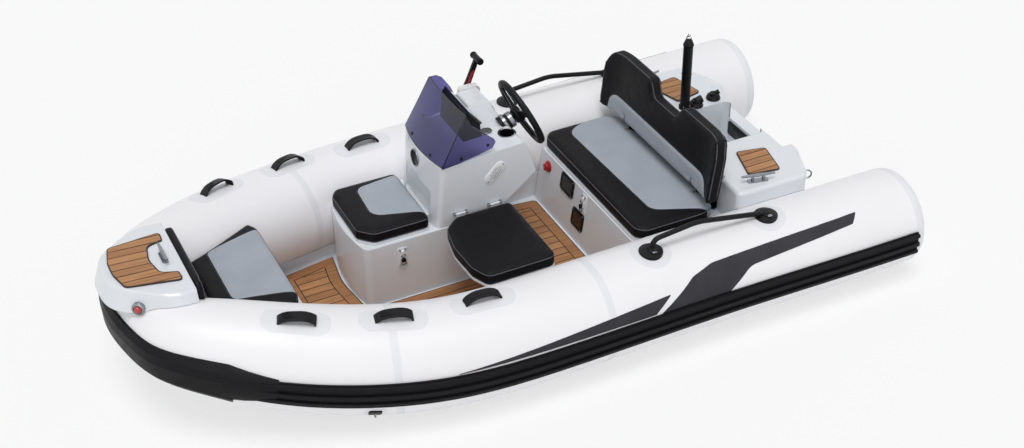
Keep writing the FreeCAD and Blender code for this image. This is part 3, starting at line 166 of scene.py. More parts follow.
def teak_look(tree, base, code):
    spot = add(tree, "TexCoord").outputs["Object"]
    drawn = add(tree, "Mapping", None, {"Vector": spot, "Scale": (5.0, 130.0, 20.0)}).outputs["Vector"]
    grain = noise(tree, drawn, 1.0, 6.0, Roughness=0.65)
    plank = add(tree, "Attribute", {"attribute_name": "plank"}).outputs["Fac"]
    ramp = add(tree, "ValToRGB", None, {"Fac": calc(tree, "MULTIPLY_ADD", plank, 0.22, grain)})
    for mark, position, shade in zip(ramp.color_ramp.elements, (0.32, 0.88), ("#8A5C38", "#C39062")):
        mark.position = position
        mark.color = colour(shade)
    tree.links.new(ramp.outputs["Color"], base.inputs["Base Color"])
    relief(tree, base, grain, 0.22, 0.0006)
    rough_noise(tree, base, spot, 30.0, 0.55, 0.7)


def seen_directly(tree):
    """One for camera, glossy and transmission rays, else zero."""
    path = add(tree, "LightPath").outputs
    seen = calc(tree, "MAXIMUM", path["Is Camera Ray"], path["Is Glossy Ray"])
    return calc(tree, "MAXIMUM", seen, path["Is Transmission Ray"])


def floor_look(tree, base, code):
    share = calc(tree, "MULTIPLY", seen_directly(tree), FLOOR_WASH)
    white = add(tree, "Emission", None, {"Strength": 1.0}).outputs[0]
    both = add(tree, "MixShader", None, {0: share, 1: base.outputs[0], 2: white}).outputs[0]
    tree.links.new(both, tree.nodes["Material Output"].inputs["Surface"])


INLAY_GREY = "#A9AFB9"
FLOOR_WASH = 0.6
# Coated tube fabric, calendered and glued: satin white, faintly woven, drawn coarser than its thread
TUBE = finish("coated_tube_fabric", fabric_look, "#F5F4F7", 0.42)
# The same fabric cut into glued patches and seam tapes, a shade greyer
TAPE = finish("glued_fabric_tape", fabric_look, "#EBEBEF", 0.5)
# Sprayed and polished gelcoat over moulded glass fibre: glossy, slightly rippled, moulded edges soft
GELCOAT = finish("polished_gelcoat", gelcoat_look, "#E4E7EC", 0.2, Coat_Weight=0.3)
# Pressed marine vinyl: pebbled grain about 2.4 mm wide, satin, grey inside the sewn inlays, else black
VINYL = finish("marine_vinyl", vinyl_look, "#07060A", 0.5, Specular_IOR_Level=0.15)
# Welt cord under the same black vinyl, its paler grey a painted highlight along the round piping
HIGHLIT_WELT = finish("vinyl_welt_painted_highlight", rubber_look, "#4C4B52", 0.42, Specular_IOR_Level=0.35)
# Bonded polyester thread, a shade paler than the welts
THREAD = finish("polyester_thread", fine_look, "#5A5960", 0.6)
# Extruded rubber: dull black with fine pores
RUBBER = finish("extruded_rubber", rubber_look, "#040307", 0.42, Specular_IOR_Level=0.2)
# Moulded nylon: black with a spark-eroded grain
NYLON = finish("moulded_nylon", plastic_look, "#08080B", 0.42, Specular_IOR_Level=0.22)
# Moulded ABS with the same grain: white covers and red knobs
WHITE_ABS = finish("white_abs", plastic_look, "#E9EAEC", 0.35)
RED_ABS = finish("red_abs", plastic_look, "#A01A24", 0.35)
# Mirror-polished stainless steel castings
STEEL = finish("polished_stainless", steel_look, "#8F9297", 0.15, Metallic=1.0)
# Brushed synthetic teak: brown planks with a lengthwise grain, each a shade different
TEAK = finish("brushed_synthetic_teak", teak_look, "#A8754A", 0.6)
# Poured polyurethane caulk between and around the planks: flat brown black
CAULK = finish("deck_caulk", fine_look, "#231D19", 0.6)
# Printed graphic film on the fabric: charcoal, satin
GRAPHIC = finish("graphic_film", rubber_look, "#302F34", 0.4, Specular_IOR_Level=0.3)
# Cast acrylic, tinted violet through, polished
ACRYLIC = finish("tinted_acrylic", None, "#6C66A2", 0.03, Transmission_Weight=1.0, IOR=1.49)
# Smoked glass over dark displays: near black, polished
SMOKED = finish("smoked_glass", fine_look, "#0A0A0D", 0.06, Coat_Weight=0.6)
# Moulded acrylic lenses: deep red and green, glossy
RED_LENS = finish("red_lens", fine_look, "#B0101C", 0.08, Coat_Weight=0.8)
GREEN_LENS = finish("green_lens", fine_look, "#0E7A32", 0.08, Coat_Weight=0.8)
# Painted studio floor: matte white, washed out a little where the camera, metal and glass see it
FLOOR = finish("studio_floor", floor_look, "#F7F7F7", 0.9)

wear = (
    (TUBE, "tube"), (TAPE, "stern_caps"), (RUBBER, "rub_strake bow_guard"),
    (GELCOAT, "hull_bottom deck_liner bench_base stern_moulding bow_step seat_pedestal console"),
    (GELCOAT, "seat_lid side_seat_board bow_lid bench_lid"), (CAULK, "bow_pad floor_pad stern_pads"),
    (ACRYLIC, "windscreen"), (SMOKED, "dash_glass inspection_windows"), (RED_ABS, "battery_switch"),
    (WHITE_ABS, "rocker_switches throttle_box latches console_vents"),
    (NYLON, "dash_hood cup_holder helm_bezel steering_wheel throttle_lever bench_brackets"),
    (NYLON, "grab_rails lift_handles light_mast rigging_boots"),
    (STEEL, "hinge_pins cleats mooring_rings nav_light_housings"),
    (RED_LENS, "nav_lens_red"), (GREEN_LENS, "nav_lens_green"),
    (VINYL, "seat_cushion side_seat_cushion bow_cushion bow_bolster bench_cushion backrest"),
)
for material, names in wear:
    for name in names.split():
        nodes[name].data.materials.clear()
        nodes[name].data.materials.append(material)


# Shape helpers: forms are in millimetres until they are dressed
def scaled(form, by):
    bmesh.ops.scale(form, vec=(by, by, by), verts=form.verts)


def merged(node):
    form = bmesh.new()
    form.from_mesh(nodes[node].data)
    bmesh.ops.remove_doubles(form, verts=form.verts, dist=0.00002)
    scaled(form, TO_MM)
    return form


def mesh_of(form, name):
    mesh = bpy.data.meshes.new(name)
    form.to_mesh(mesh)
    form.free()
    return mesh


def placed(name, data):
    item = bpy.data.objects.new(name, data)
    scene.collection.objects.link(item)
    return item


def skin_of(form):
    form.normal_update()
    return BVHTree.FromBMesh(form)


def hang(mesh, name, material, body, angle=40, stands_for=()):
    mesh.materials.clear()
    mesh.materials.append(material)
    mesh.shade_smooth()
    mesh.set_sharp_from_angle(angle=math.radians(angle))
    piece = placed(name, mesh)
    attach(piece, body)
    if stands_for:
        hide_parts(*stands_for)


def dress(form, name, material, body, angle=40, stands_for=()):
    bmesh.ops.remove_doubles(form, verts=form.verts, dist=0.004)
    bmesh.ops.recalc_face_normals(form, faces=form.faces)
    scaled(form, MM)
    hang(mesh_of(form, name), name, material, body, angle, stands_for)


def facing(origin, normal, across=(0, 0, 1)):
    """A frame with Z along the normal and X as near as it can be to across."""
    z = Vector(normal).normalized()
    x = Vector(across) - z * z.dot(Vector(across))
    if x.length < 0.01:
        x = Vector((1, 0, 0)) - z * z.x
    x.normalize()
    place = Matrix((x, z.cross(x), z)).transposed().to_4x4()
    place.translation = origin
    return place


def shifted(place, x, y, z):
    return place @ Matrix.Translation((x, y, z))


def spun(place, angle, axis="Z"):
    return place @ Matrix.Rotation(angle, 4, axis)


def rounded(points, radii, inset=0.0, parts=7):
    """A closed outline with its corners rounded, moved inwards by the inset."""
    pts = [Vector(p) for p in points]
    radii = list(radii) if isinstance(radii, (list, tuple)) else [radii] * len(pts)
    if sum(pts[i - 1].x * p.y - pts[i - 1].y * p.x for i, p in enumerate(pts)) < 0:
        pts.reverse()
        radii.reverse()
    loop = []
    for i, p in enumerate(pts):
        a = (p - pts[i - 1]).normalized()
        b = (pts[(i + 1) % len(pts)] - p).normalized()
        sides = Vector((-a.y, a.x)), Vector((-b.y, b.x))
        p = p + (sides[0] + sides[1]) * (inset / (1 + sides[0].dot(sides[1])))
        turn = math.atan2(a.x * b.y - a.y * b.x, a.dot(b))
        r = max(0.3, radii[i] - inset) if turn > 0 else radii[i] + inset
        start = p - a * (r * math.tan(abs(turn) / 2))
        centre = start + sides[0] * math.copysign(r, turn)
        arm = start - centre
        for k in range(parts + 1):
            c, s = math.cos(turn * k / parts), math.sin(turn * k / parts)
            loop.append(centre + Vector((arm.x * c - arm.y * s, arm.x * s + arm.y * c)))
    return loop


def box_loop(width, height, radius, parts=6):
    w, h = width / 2, height / 2
    return rounded([(-w, -h), (w, -h), (w, h), (-w, h)], radius, parts=parts)


def circle(parts, turn=math.tau, extra=0):
    return [(math.cos(turn * k / parts), math.sin(turn * k / parts)) for k in range(parts + extra)]


def shelled(part, rows, closed=False, ends=False):
    """Faces between neighbouring rings of vertices; the last may join the first, or both get a lid."""
    for a, b in zip(rows, rows[1:] + rows[:1] if closed else rows[1:]):
        for k in range(len(a)):
            part.faces.new((a[k - 1], a[k], b[k], b[k - 1]))
    if ends:
        part.faces.new(rows[0])
        part.faces.new(rows[-1])


def join(form, part, place=None):
    """Adds a part to a form and frees it."""
    if place is not None:
        part.transform(place)
    part.normal_update()
    mesh = mesh_of(part, "part")
    form.from_mesh(mesh)
    bpy.data.meshes.remove(mesh)


def filled(loop):
    form = bmesh.new()
    verts = [form.verts.new((p.x, p.y, 0)) for p in loop]
    for a, b, c in tessellate_polygon([[v.co for v in verts]]):
        form.faces.new((verts[a], verts[b], verts[c]))
    bmesh.ops.recalc_face_normals(form, faces=form.faces)
    return form


def cut(form, way, at, **keep):
    """Cuts a flat form by a plane across a direction."""
    bmesh.ops.bisect_plane(form, geom=form.verts[:] + form.edges[:] + form.faces[:], dist=0.0001,
                           plane_co=Vector(way) * at, plane_no=way, **keep)


def thickened(form):
    """Turns an open sheet into a closed one and gives its second layer of vertices."""
    grown = bmesh.ops.extrude_face_region(form, geom=form.faces[:], use_keep_orig=True)["geom"]
    return [g for g in grown if isinstance(g, bmesh.types.BMVert)]


def film(form, loop, place, skin, lift, thick=1.2, cell=13.0):
    """A thin sheet of the loop's outline laid on a skin along the frame's Z."""
    sheet = filled(loop)
    for axis, way in enumerate(((1, 0, 0), (0, 1, 0))):
        low, high = min(p[axis] for p in loop), max(p[axis] for p in loop)
        for at in np.arange(low + cell, high, cell):
            cut(sheet, way, at)
    down = -place.col[2].to_3d()
    for v in sheet.verts:
        start = place @ v.co
        spot, normal = skin.ray_cast(start - down * 300, down)[:2]
        if spot is None:
            spot, normal = skin.find_nearest(start)[:2]
        if normal.dot(down) > 0:
            normal = -normal
        v.co = spot + normal * lift
    for v in thickened(sheet):
        spot = skin.find_nearest(v.co)[0]
        v.co = spot + (v.co - spot).normalized() * (lift - thick)
    bmesh.ops.recalc_face_normals(sheet, faces=sheet.faces)
    join(form, sheet)


def lathe(form, profile, place=None, parts=36):
    """A turned shape from (radius, height) points that start and end on the axis."""
    part = bmesh.new()
    shelled(part, [[part.verts.new((r * c, r * s, z)) for c, s in circle(parts)] for r, z in profile])
    bmesh.ops.remove_doubles(part, verts=part.verts, dist=0.001)
    bmesh.ops.dissolve_degenerate(part, edges=part.edges, dist=0.0001)
    bmesh.ops.recalc_face_normals(part, faces=part.faces)
    join(form, part, place)


def turned(profile, parts):
    """A small turned item by itself, to be repeated."""
    item = bmesh.new()
    lathe(item, profile, parts=parts)
    return item


def sweep(form, path, radius, sides=10, closed=False):
    """A round bar along a path of points."""
    path = [Vector(p) for p in path]
    last = len(path) - 1
    part = bmesh.new()
    rows = []
    up = None
    for i, p in enumerate(path):
        ahead = path[(i + 1) % len(path)] if closed or i < last else p
        back = path[i - 1] if closed or i > 0 else p
        way = (ahead - back).normalized()
        if up is None:
            up = way.orthogonal().normalized() if abs(way.z) > 0.9 else Vector((0, 0, 1))
        side = way.cross(up).normalized()
        up = side.cross(way).normalized()
        rows.append([part.verts.new(p + side * (radius * c) + up * (radius * s)) for c, s in circle(sides)])
    shelled(part, rows, closed, not closed)
    bmesh.ops.recalc_face_normals(part, faces=part.faces)
    join(form, part)


def ring(form, place, radius, thick, parts=40, sides=10, arc=1.0):
    """A ring around the frame's Z, or the given share of one."""
    whole = arc == 1.0
    spots = circle(parts, math.tau * arc, 0 if whole else 1)
    sweep(form, [place @ Vector((radius * c, radius * s, 0)) for c, s in spots], thick, sides, whole)


def slab(form, loop, thick, place, edge=1.0):
    """A flat plate of an outline with a small rounded upper edge."""
    inward = []
    for i, p in enumerate(loop):
        a, b = p - loop[i - 1], (loop[(i + 1) % len(loop)] - p).normalized()
        a = a.normalized() if a.length > 0.001 else Vector((0, 0))
        n = Vector((-(a.y + b.y), a.x + b.x))
        inward.append(n.normalized() if n.length > 0.001 else Vector((0, 0)))
    part = bmesh.new()
    steps = ((0, 0), (0, thick - edge), (edge * 0.3, thick - edge * 0.3), (edge, thick))
    shelled(part, [[part.verts.new((p.x + n.x * inset, p.y + n.y * inset, z)) for p, n in zip(loop, inward)]
                   for inset, z in steps], ends=True)
    bmesh.ops.recalc_face_normals(part, faces=part.faces)
    join(form, part, place)


def final_mesh(item):
    """The item's mesh with its modifiers applied."""
    graph = bpy.context.evaluated_depsgraph_get()
    return bpy.data.meshes.new_from_object(item.evaluated_get(graph), preserve_all_data_layers=True,
                                           depsgraph=graph)


# One tree repeats a small item at marked points: stitches, ribs, holes and screws
def repeater():
    tree = bpy.data.node_groups.new("repeat_item", "GeometryNodeTree")
    tree.interface.new_socket("Geometry", in_out="OUTPUT", socket_type="NodeSocketGeometry")
    for label, kind in (("Points", "Geometry"), ("Item", "Object"), ("Finish", "Material")):
        tree.interface.new_socket(label, in_out="INPUT", socket_type="NodeSocket" + kind)
    given = tree.nodes.new("NodeGroupInput").outputs
    result = tree.nodes.new("NodeGroupOutput")
    item = add(tree, "GeometryNodeObjectInfo", {"transform_space": "ORIGINAL"}, {"Object": given["Item"]})
    way = add(tree, "GeometryNodeInputNamedAttribute", {"data_type": "FLOAT_VECTOR"}, {"Name": "way"})
    turn = add(tree, "FunctionNodeAlignRotationToVector", {"axis": "Z"}, {"Vector": way.outputs["Attribute"]})
    spots = add(tree, "GeometryNodeMeshToPoints", None, {"Mesh": given["Points"]})
    many = add(tree, "GeometryNodeInstanceOnPoints", None, {
        "Points": spots.outputs["Points"], "Instance": item.outputs["Geometry"],
        "Rotation": turn.outputs["Rotation"]})
    real = add(tree, "GeometryNodeRealizeInstances", None, {"Geometry": many.outputs["Instances"]})
    skin = add(tree, "GeometryNodeSetMaterial", None, {"Geometry": real.outputs["Geometry"],
                                                       "Material": given["Finish"]})
    tree.links.new(skin.outputs["Geometry"], result.inputs["Geometry"])
    return tree


REPEAT = repeater()


def repeated(name, spots, item, material, body):
    """Spots are (place, way) pairs in millimetres; the item stands along Z at its own origin."""
    scaled(item, MM)
    sample = placed(name + "_item", mesh_of(item, name + "_item"))
    marks = bpy.data.meshes.new(name + "_marks")
    marks.from_pydata([tuple(Vector(p) * MM) for p, way in spots], [], [])
    ways = marks.attributes.new("way", "FLOAT_VECTOR", "POINT")
    ways.data.foreach_set("vector", [c for p, way in spots for c in Vector(way).normalized()])
    holder = placed(name + "_marks", marks)
    work = holder.modifiers.new("repeat", "NODES")
    work.node_group = REPEAT
    given = {"Item": sample, "Finish": material}
    for socket in REPEAT.interface.items_tree:
        if socket.name in given:
            work[socket.identifier] = given[socket.name]
    mesh = final_mesh(holder)
    for o in (sample, holder):
        bpy.data.objects.remove(o)
    hang(mesh, name, material, body)


def islands(form):
    """The points of each connected piece of a form."""
    left = set(form.verts)
    while left:
        group, grow = [], [left.pop()]
        while grow:
            v = grow.pop()
            group.append(v)
            for e in v.link_edges:
                other = e.other_vert(v)
                if other in left:
                    left.remove(other)
                    grow.append(other)
        yield np.array([v.co for v in group])


# Tube: glued patches under the handles, rail feet and tow rings
tube_form = merged("tube")
tube_skin = skin_of(tube_form)
patches = bmesh.new()
handle_form = merged("lift_handles")
handle_frames = []
for group in islands(handle_form):
    spread = Vector(np.linalg.eigh(np.cov((group - group.mean(axis=0)).T))[1][:, 2])
    seat, normal = tube_skin.find_nearest(Vector(group.mean(axis=0)))[:2]
    along = spread - normal * normal.dot(spread)
    place = facing(seat, normal, along if along.x > 0 else -along)
    handle_frames.append(place)
    film(patches, box_loop(268, 116, 52), place, tube_skin, 0.9)
handle_form.free()
rail_feet = [(x, side * 655, 427) for x in (905, 352) for side in (1, -1)]
for foot in rail_feet:
    film(patches, box_loop(168, 168, 83.9, parts=12), facing(foot, (0, 0, 1), (1, 0, 0)), tube_skin, 0.9)
tow_rings = [Vector((2152, side * 726, 132)) for side in (1, -1)]
for spot in tow_rings:
    place = facing(spot, (0.28, math.copysign(0.62, spot.y), -0.72), (1, 0, 0))
    film(patches, box_loop(92, 92, 45.9, parts=10), place, tube_skin, 1.0)
dress(patches, "tube_patches", TAPE, "boat", 50)

# Seam tapes around the tubes, 32 mm wide, at two stations on each side
TAPE_SECTION = ((-16, -0.4), (-15.4, 0.7), (15.4, 0.7), (16, -0.4))
tapes = bmesh.new()
for x, y, z, slope in ((1172, 640, 212, 0.0), (2010, 573, 231, -0.27)):
    for side in (1, -1):
        centre = Vector((x, side * y, z))
        way = Vector((1, side * slope, 0)).normalized()
        out = way.cross(Vector((0, 0, 1)))
        rays = [out * c + Vector((0, 0, s)) for c, s in circle(72)]
        strip = bmesh.new()
        shelled(strip, [[strip.verts.new(tube_skin.ray_cast(centre + way * shift, ray)[0] + ray * lift)
                         for ray in rays] for shift, lift in TAPE_SECTION], closed=True)
        join(tapes, strip)
dress(tapes, "tube_seam_tapes", TAPE, "boat", 50)

# Side graphics: a long dart ahead of a swept band, both sides
dart = rounded([(1870, 272), (903, 325), (985, 268), (1420, 270)], [1, 2, 1, 400])
band = rounded([(958, 264), (789, 357), (690, 378), (-27, 394), (8, 366), (525, 334), (640, 259)],
               [1, 60, 140, 1, 1, 110, 1])
graphics = bmesh.new()
for side in (1, -1):
    place = Matrix(((1, 0, 0, 0), (0, 0, side, side * 660), (0, 1, 0, 0), (0, 0, 0, 1)))
    for loop in (dart, band):
        film(graphics, loop, place, tube_skin, 1.2, thick=1.6, cell=9.0)
dress(graphics, "side_graphics", GRAPHIC, "boat", 60)

# Cushions: each foam pad is blown up by pressure, capped, then given its sewn inlay, welts and stitches
CLOTH_PRESSURE = 4
CLOTH_MOMENTS = 20
WELT_RADIUS = 2.6
WELT_SINK = 0.6
WELT_STEP = 9
STITCH_STEP = 8.5


def signed(points, loop):
    """Distance of each point inside the loop, negative outside."""
    a = np.array([tuple(p) for p in loop])
    best = np.full(len(points), 1e9)
    inside = np.zeros(len(points), bool)
    for p, q in zip(a, np.roll(a, -1, axis=0)):
        d = q - p
        share = np.clip(((points - p) @ d) / max(1e-9, d @ d), 0, 1)
        best = np.minimum(best, np.linalg.norm(points - (p + share[:, None] * d), axis=1))
        crosses = (p[1] > points[:, 1]) != (q[1] > points[:, 1])
        if abs(d[1]) > 1e-9:
            inside ^= crosses & (points[:, 0] < p[0] + (points[:, 1] - p[1]) * d[0] / d[1])
    return np.where(inside, best, -best)


def listed(mesh, what):
    """Each vertex's place (co) or normal."""
    out = np.zeros(len(mesh.vertices) * 3)
    mesh.vertices.foreach_get(what, out)
    return out.reshape(-1, 3)


def puffed(node, voxel, cap, shrink, room):
    """The node's solid remeshed and blown up by about cap mm, within room (mm beyond its box's faces)."""
    form = merged(node)
    scaled(form, MM)
    low, high = (np.array(corner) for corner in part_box(node))
    middle = (low + high) / 2
    for v in form.verts:
        v.co = middle + (np.array(v.co) - middle) * (1 - 2 * shrink * MM / (high - low))
    item = placed(node + "_blank", mesh_of(form, node + "_blank"))
    work = item.modifiers.new("voxels", "REMESH")
    work.mode = "VOXEL"
    work.voxel_size = voxel * MM
    item.data = final_mesh(item)
    item.modifiers.clear()
    start = listed(item.data, "co")
    outward = listed(item.data, "normal")
    shift = outward * cap * 0.5 * MM
    cloth = item.modifiers.new("cloth", "CLOTH").settings
    cloth.quality = 4
    cloth.use_pressure = True
    cloth.uniform_pressure_force = CLOTH_PRESSURE
    cloth.effector_weights.gravity = 0
    for moment in range(1, CLOTH_MOMENTS + 1):
        scene.frame_set(moment)
    blown = np.sum((listed(final_mesh(item), "co") - start) * outward, axis=1, keepdims=True)
    shift += outward * np.maximum(blown, 0)
    item.modifiers.clear()
    scene.frame_set(1)
    far = np.linalg.norm(shift, axis=1, keepdims=True)
    place = start + shift * (cap * MM / (cap * MM + far)) * 1.3
    place = np.maximum(np.minimum(place, high + np.array(room[1]) * MM), low - np.array(room[0]) * MM)
    item.data.vertices.foreach_set("co", place.ravel())
    item.data.update()
    fine = item.modifiers.new("fine", "SUBSURF")
    fine.levels = fine.render_levels = 1
    mesh = final_mesh(item)
    bpy.data.objects.remove(item)
    return mesh


def pad(node, body, voxel, cap, inlay=None, plane=(0, 1), raised=0.0, room=(), shrink=3):
    """Puts a puffed pad in the node's place; its inlay lies in the plane of two axes. Gives its skin."""
    mesh = puffed(node, voxel, cap, shrink, room)
    place = listed(mesh, "co") * TO_MM
    value = np.zeros(len(place))
    if inlay:
        depth = signed(place[:, plane], inlay)
        outward = listed(mesh, "normal")
        upward = outward[:, 3 - sum(plane)]
        shape = raised * np.clip(depth / 16, 0, 1) ** 0.6 - 1.6 * np.exp(-(depth / 2.6) ** 2)
        place += outward * (shape * np.clip(upward * 2, 0, 1))[:, None]
        mesh.vertices.foreach_set("co", (place * MM).ravel())
        mesh.update()
        value = np.where(upward > -0.3, depth * MM, -1)
    mark = mesh.attributes.new("inlay", "FLOAT", "POINT")
    mark.data.foreach_set("value", value)
    hang(mesh, node + "_pad", VINYL, body, 70, (node,))
    form = bmesh.new()
    form.from_mesh(mesh)
    scaled(form, TO_MM)
    skin = skin_of(form)
    form.free()
    return skin


def even(loop, gap):
    """Points a steady gap apart around a flat loop, with the way at each."""
    path = [Vector((q.x, q.y, 0)) for q in [*loop, loop[0]]]
    run, out, want = 0.0, [], 0.0
    for p, q in zip(path, path[1:]):
        step = (q - p).length
        while step > 1e-6 and want <= run + step:
            out.append((p.lerp(q, (want - run) / step), (q - p).normalized()))
            want += gap
        run += step
    return out


def pressed(skin, rays, smooth):
    """A welt's path on a pad's side from (point, outward) rays, smoothed a number of times."""
    path = []
    for point, out in rays:
        spot = skin.ray_cast(point + out * 60, -out, 130)[0]
        if spot is not None:
            path.append(spot - out * WELT_SINK)
    for again in range(smooth):
        path = [(path[i - 1] + p * 2 + path[(i + 1) % len(path)]) / 4 for i, p in enumerate(path)]
    return path


def sewn_line(name, skin, loop, body, above, keep):
    """Stitches along a loop, dropped on a pad from above (a function of the flat point) where keep allows."""
    spots = []
    for p, way in even(loop, STITCH_STEP):
        start, down, lie = above(p, way)
        spot, normal = skin.ray_cast(start, down)[:2]
        if spot is not None and keep(spot):
            spots.append((spot + normal * 0.3, lie))
    stitch = turned([(0, -2.7), (0.65, -2.3), (0.8, 0), (0.65, 2.3), (0, 2.7)], 6)
    repeated(name, spots, stitch, THREAD, body)


def from_top(p, way):
    return Vector((p.x, p.y, 900)), Vector((0, 0, -1)), way


def from_front(p, way):
    return Vector((900, p.x, p.y)), Vector((-1, 0, 0)), Vector((0, way.x, way.y))


seat_edge = [(1586, -396), (1864, -396), (1894, -356), (1894, -72), (1838, -14), (1586, -14)]
side_edge = [(1222, 14), (1476, 14), (1546, 70), (1572, 204), (1566, 362), (1532, 446), (1222, 446)]
bench_edge = [(450, -408), (510, -438), (796, -438), (830, -404), (830, 404), (796, 438), (510, 438),
              (450, 408)]
bow_edge = [(2266, -254), (2312, -344), (2588, -184), (2588, 184), (2312, 344), (2266, 254)]
seat_inlay = [(1800, -128), (1786, -348), (1530, -384), (1530, -42)]
bench_inlay = [(725, -380), (707, 328), (430, 452), (430, -528)]
bow_inlay = [(2506, -176), (2506, 172), (2236, 240), (2236, -248)]

# Node, body, voxel and cap in mm, inlay and its corners, edge and its corners, welt heights, room
cushions = [
    ("seat_cushion", "front_seat", 6, 9, seat_inlay, [60, 44, 4, 4], seat_edge, [16, 22, 22, 22, 22, 16],
     (348, 386.5), ((0, 3, 0), (3, 3, 6))),
    ("side_seat_cushion", "side_seat", 6, 9, None, None, side_edge, [16, 32, 60, 90, 60, 30, 30],
     (333, 373.5), ((3, 0, 0), (3, 3, 6))),
    ("bench_cushion", "bench_seat", 7, 9, bench_inlay, [70, 60, 4, 4], bench_edge, 24,
     (311, 352), ((0, 3, 0), (3, 3, 6))),
    ("bow_cushion", "bow_locker_lid", 6, 9, bow_inlay, [34, 34, 4, 4], bow_edge, [50, 60, 46, 46, 60, 50],
     (364, 406), ((2, 0, 0), (2, 0, 6))),
]
for node, body, voxel, cap, inlay, corners, edge, radii, levels, room in cushions:
    loop = rounded(inlay, corners) if inlay else None
    skin = pad(node, body, voxel, cap, loop, raised=1.5, room=room)
    welts = bmesh.new()
    for level in levels:
        rays = [(Vector((p.x, p.y, level)), Vector((way.y, -way.x, 0)))
                for p, way in even(rounded(edge, radii), WELT_STEP)]
        sweep(welts, pressed(skin, rays, 2), WELT_RADIUS, 8, True)
    dress(welts, node + "_welts", HIGHLIT_WELT, body, 60)
    if inlay:
        low, high = (corner * TO_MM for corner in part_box(node))
        sewn_line(node + "_stitches", skin, rounded(inlay, corners, -5.0), body, from_top,
                  lambda s: low.x + 8 < s.x < high.x - 8 and low.y + 12 < s.y < high.y - 12
                  and s.z > high.z - 6)

# Backrest: swept ends, leaned back, with a grey lumbar band and welts that end above its brackets
REST_LEAN = math.radians(7)
rest_edge = [(-470, 412), (-470, 622), (-436, 692), (-137, 692), (-92, 622), (92, 622), (137, 692),
             (436, 692), (470, 622), (470, 412)]
rest_radii = [30, 60, 30, 30, 22, 22, 30, 30, 60, 30]
rest_band = [(-432, 370), (-398, 506), (398, 506), (432, 370)]
band_radii = [5, 56, 56, 5]


def rest_front(y, z):
    """X of the front face: it sweeps forward past 360 mm off the middle and leans aft from its foot."""
    return 490 + 36 * max(0.0, (abs(y) - 360) / 110) ** 1.4 - math.tan(REST_LEAN) * (z - 412)


skin = pad("backrest", "bench_backrest", 7, 9, rounded(rest_band, band_radii), plane=(1, 2), raised=5.0,
           room=((6, 3, 0), (6, 3, 3)))
welts = bmesh.new()
for depth in (9, 47):
    rays = [(Vector((rest_front(p.x, p.y) - depth, p.x, p.y)), Vector((0, way.y, -way.x)))
            for p, way in even(rounded(rest_edge, rest_radii), WELT_STEP)]
    sweep(welts, [p for p in pressed(skin, rays, 3) if p.z > 440], WELT_RADIUS, 8)
dress(welts, "backrest_welts", HIGHLIT_WELT, "bench_backrest", 60)
sewn_line("backrest_stitches", skin, rounded(rest_band, band_radii, -5.0), "bench_backrest", from_front,
          lambda s: s.z > 424)

# Bolster behind the bow step, with a welt along its aft edge
skin = pad("bow_bolster", "boat", 5, 4, room=((3, 2, 0), (0, 2, 3)), shrink=1)
path = [skin.ray_cast(Vector((2500, y, 572 - max(0, abs(y) - 190) * 1.2)), (1, 0, 0))[0]
        for y in range(-236, 237, 8)]
welts = bmesh.new()
sweep(welts, [p for p in path if p is not None], 2.2, 8)
dress(welts, "bow_bolster_welt", HIGHLIT_WELT, "boat", 60)

# Planked pads: thin teak planks glued over the caulk-coloured pads
PLANK_GAP = 4.5
PLANK_RISE = 0.9
PLANK_ROOT = -0.5
CAULK_MARGIN = 5.0


def planked(name, edge, radii, top, pitch, frame_width=0.0):
    """Planks run along X; top gives the height of a point; a frame plank may go round."""
    form = bmesh.new()
    margin = CAULK_MARGIN
    parts = []
    if frame_width:
        strip = bmesh.new()
        shelled(strip, [[strip.verts.new((p.x, p.y, 0)) for p in rounded(edge, radii, inset)]
                        for inset in (margin, margin + frame_width)])
        parts.append(strip)
        margin += frame_width + PLANK_GAP
    loop = rounded(edge, radii, margin)
    low, high = min(p.y for p in loop), max(p.y for p in loop)
    start = math.floor(low / pitch) * pitch + (0 if frame_width else pitch / 2)
    for base in np.arange(start - pitch, high, pitch):
        if base + pitch < low + 6:
            continue
        last = high + 1 if high - (base + pitch) < 10 else base + pitch - PLANK_GAP / 2
        plank = filled(loop)
        cut(plank, (0, 1, 0), max(base + PLANK_GAP / 2, low - 1), clear_inner=True)
        cut(plank, (0, 1, 0), last, clear_outer=True)
        if plank.faces:
            bmesh.ops.dissolve_limit(plank, angle_limit=0.02, verts=plank.verts, edges=plank.edges)
            parts.append(plank)
        else:
            plank.free()
        if last > high:
            break
    shades = []
    for number, part in enumerate(parts):
        bmesh.ops.recalc_face_normals(part, faces=part.faces)
        tops = set(thickened(part))
        for v in part.verts:
            v.co.z = top(v.co.x, v.co.y) + (PLANK_RISE if v in tops else PLANK_ROOT)
        bmesh.ops.recalc_face_normals(part, faces=part.faces)
        shades += [(number * 0.618) % 1.0] * len(part.verts)
        join(form, part)
    scaled(form, MM)
    mesh = mesh_of(form, name)
    mark = mesh.attributes.new("plank", "FLOAT", "POINT")
    mark.data.foreach_set("value", shades)
    hang(mesh, name, TEAK, "boat", 30)


bow_pad_edge = [(2678, -170), (2896, -138), (2920, -40), (2920, 40), (2896, 138), (2678, 170), (2682, 112),
                (2748, 94), (2766, 0), (2748, -94), (2682, -112)]
planked("bow_pad_planks", bow_pad_edge, [16, 24, 120, 120, 24, 16, 10, 34, 120, 34, 10],
        lambda x, y: 572 + 6 + 0.06 * (x - 2652), 43)
floor_edge = [(896, -386), (1222, -411), (1222, 18), (1898, 18), (1928, -215), (1898, -408), (2164, -360),
              (2164, 360), (1850, 412), (1150, 412), (896, 386)]
planked("floor_planks", floor_edge, [20, 1, 24, 44, 400, 1, 30, 30, 200, 200, 20], lambda x, y: 36, 46, 44)
for side, name in ((1, "stern_pad_planks_port"), (-1, "stern_pad_planks_starboard")):
    stern_edge = [(233, side * 239), (97, side * 268), (134, side * 440), (283, side * 417)]
    planked(name, stern_edge, 16, lambda x, y: 468, 43)


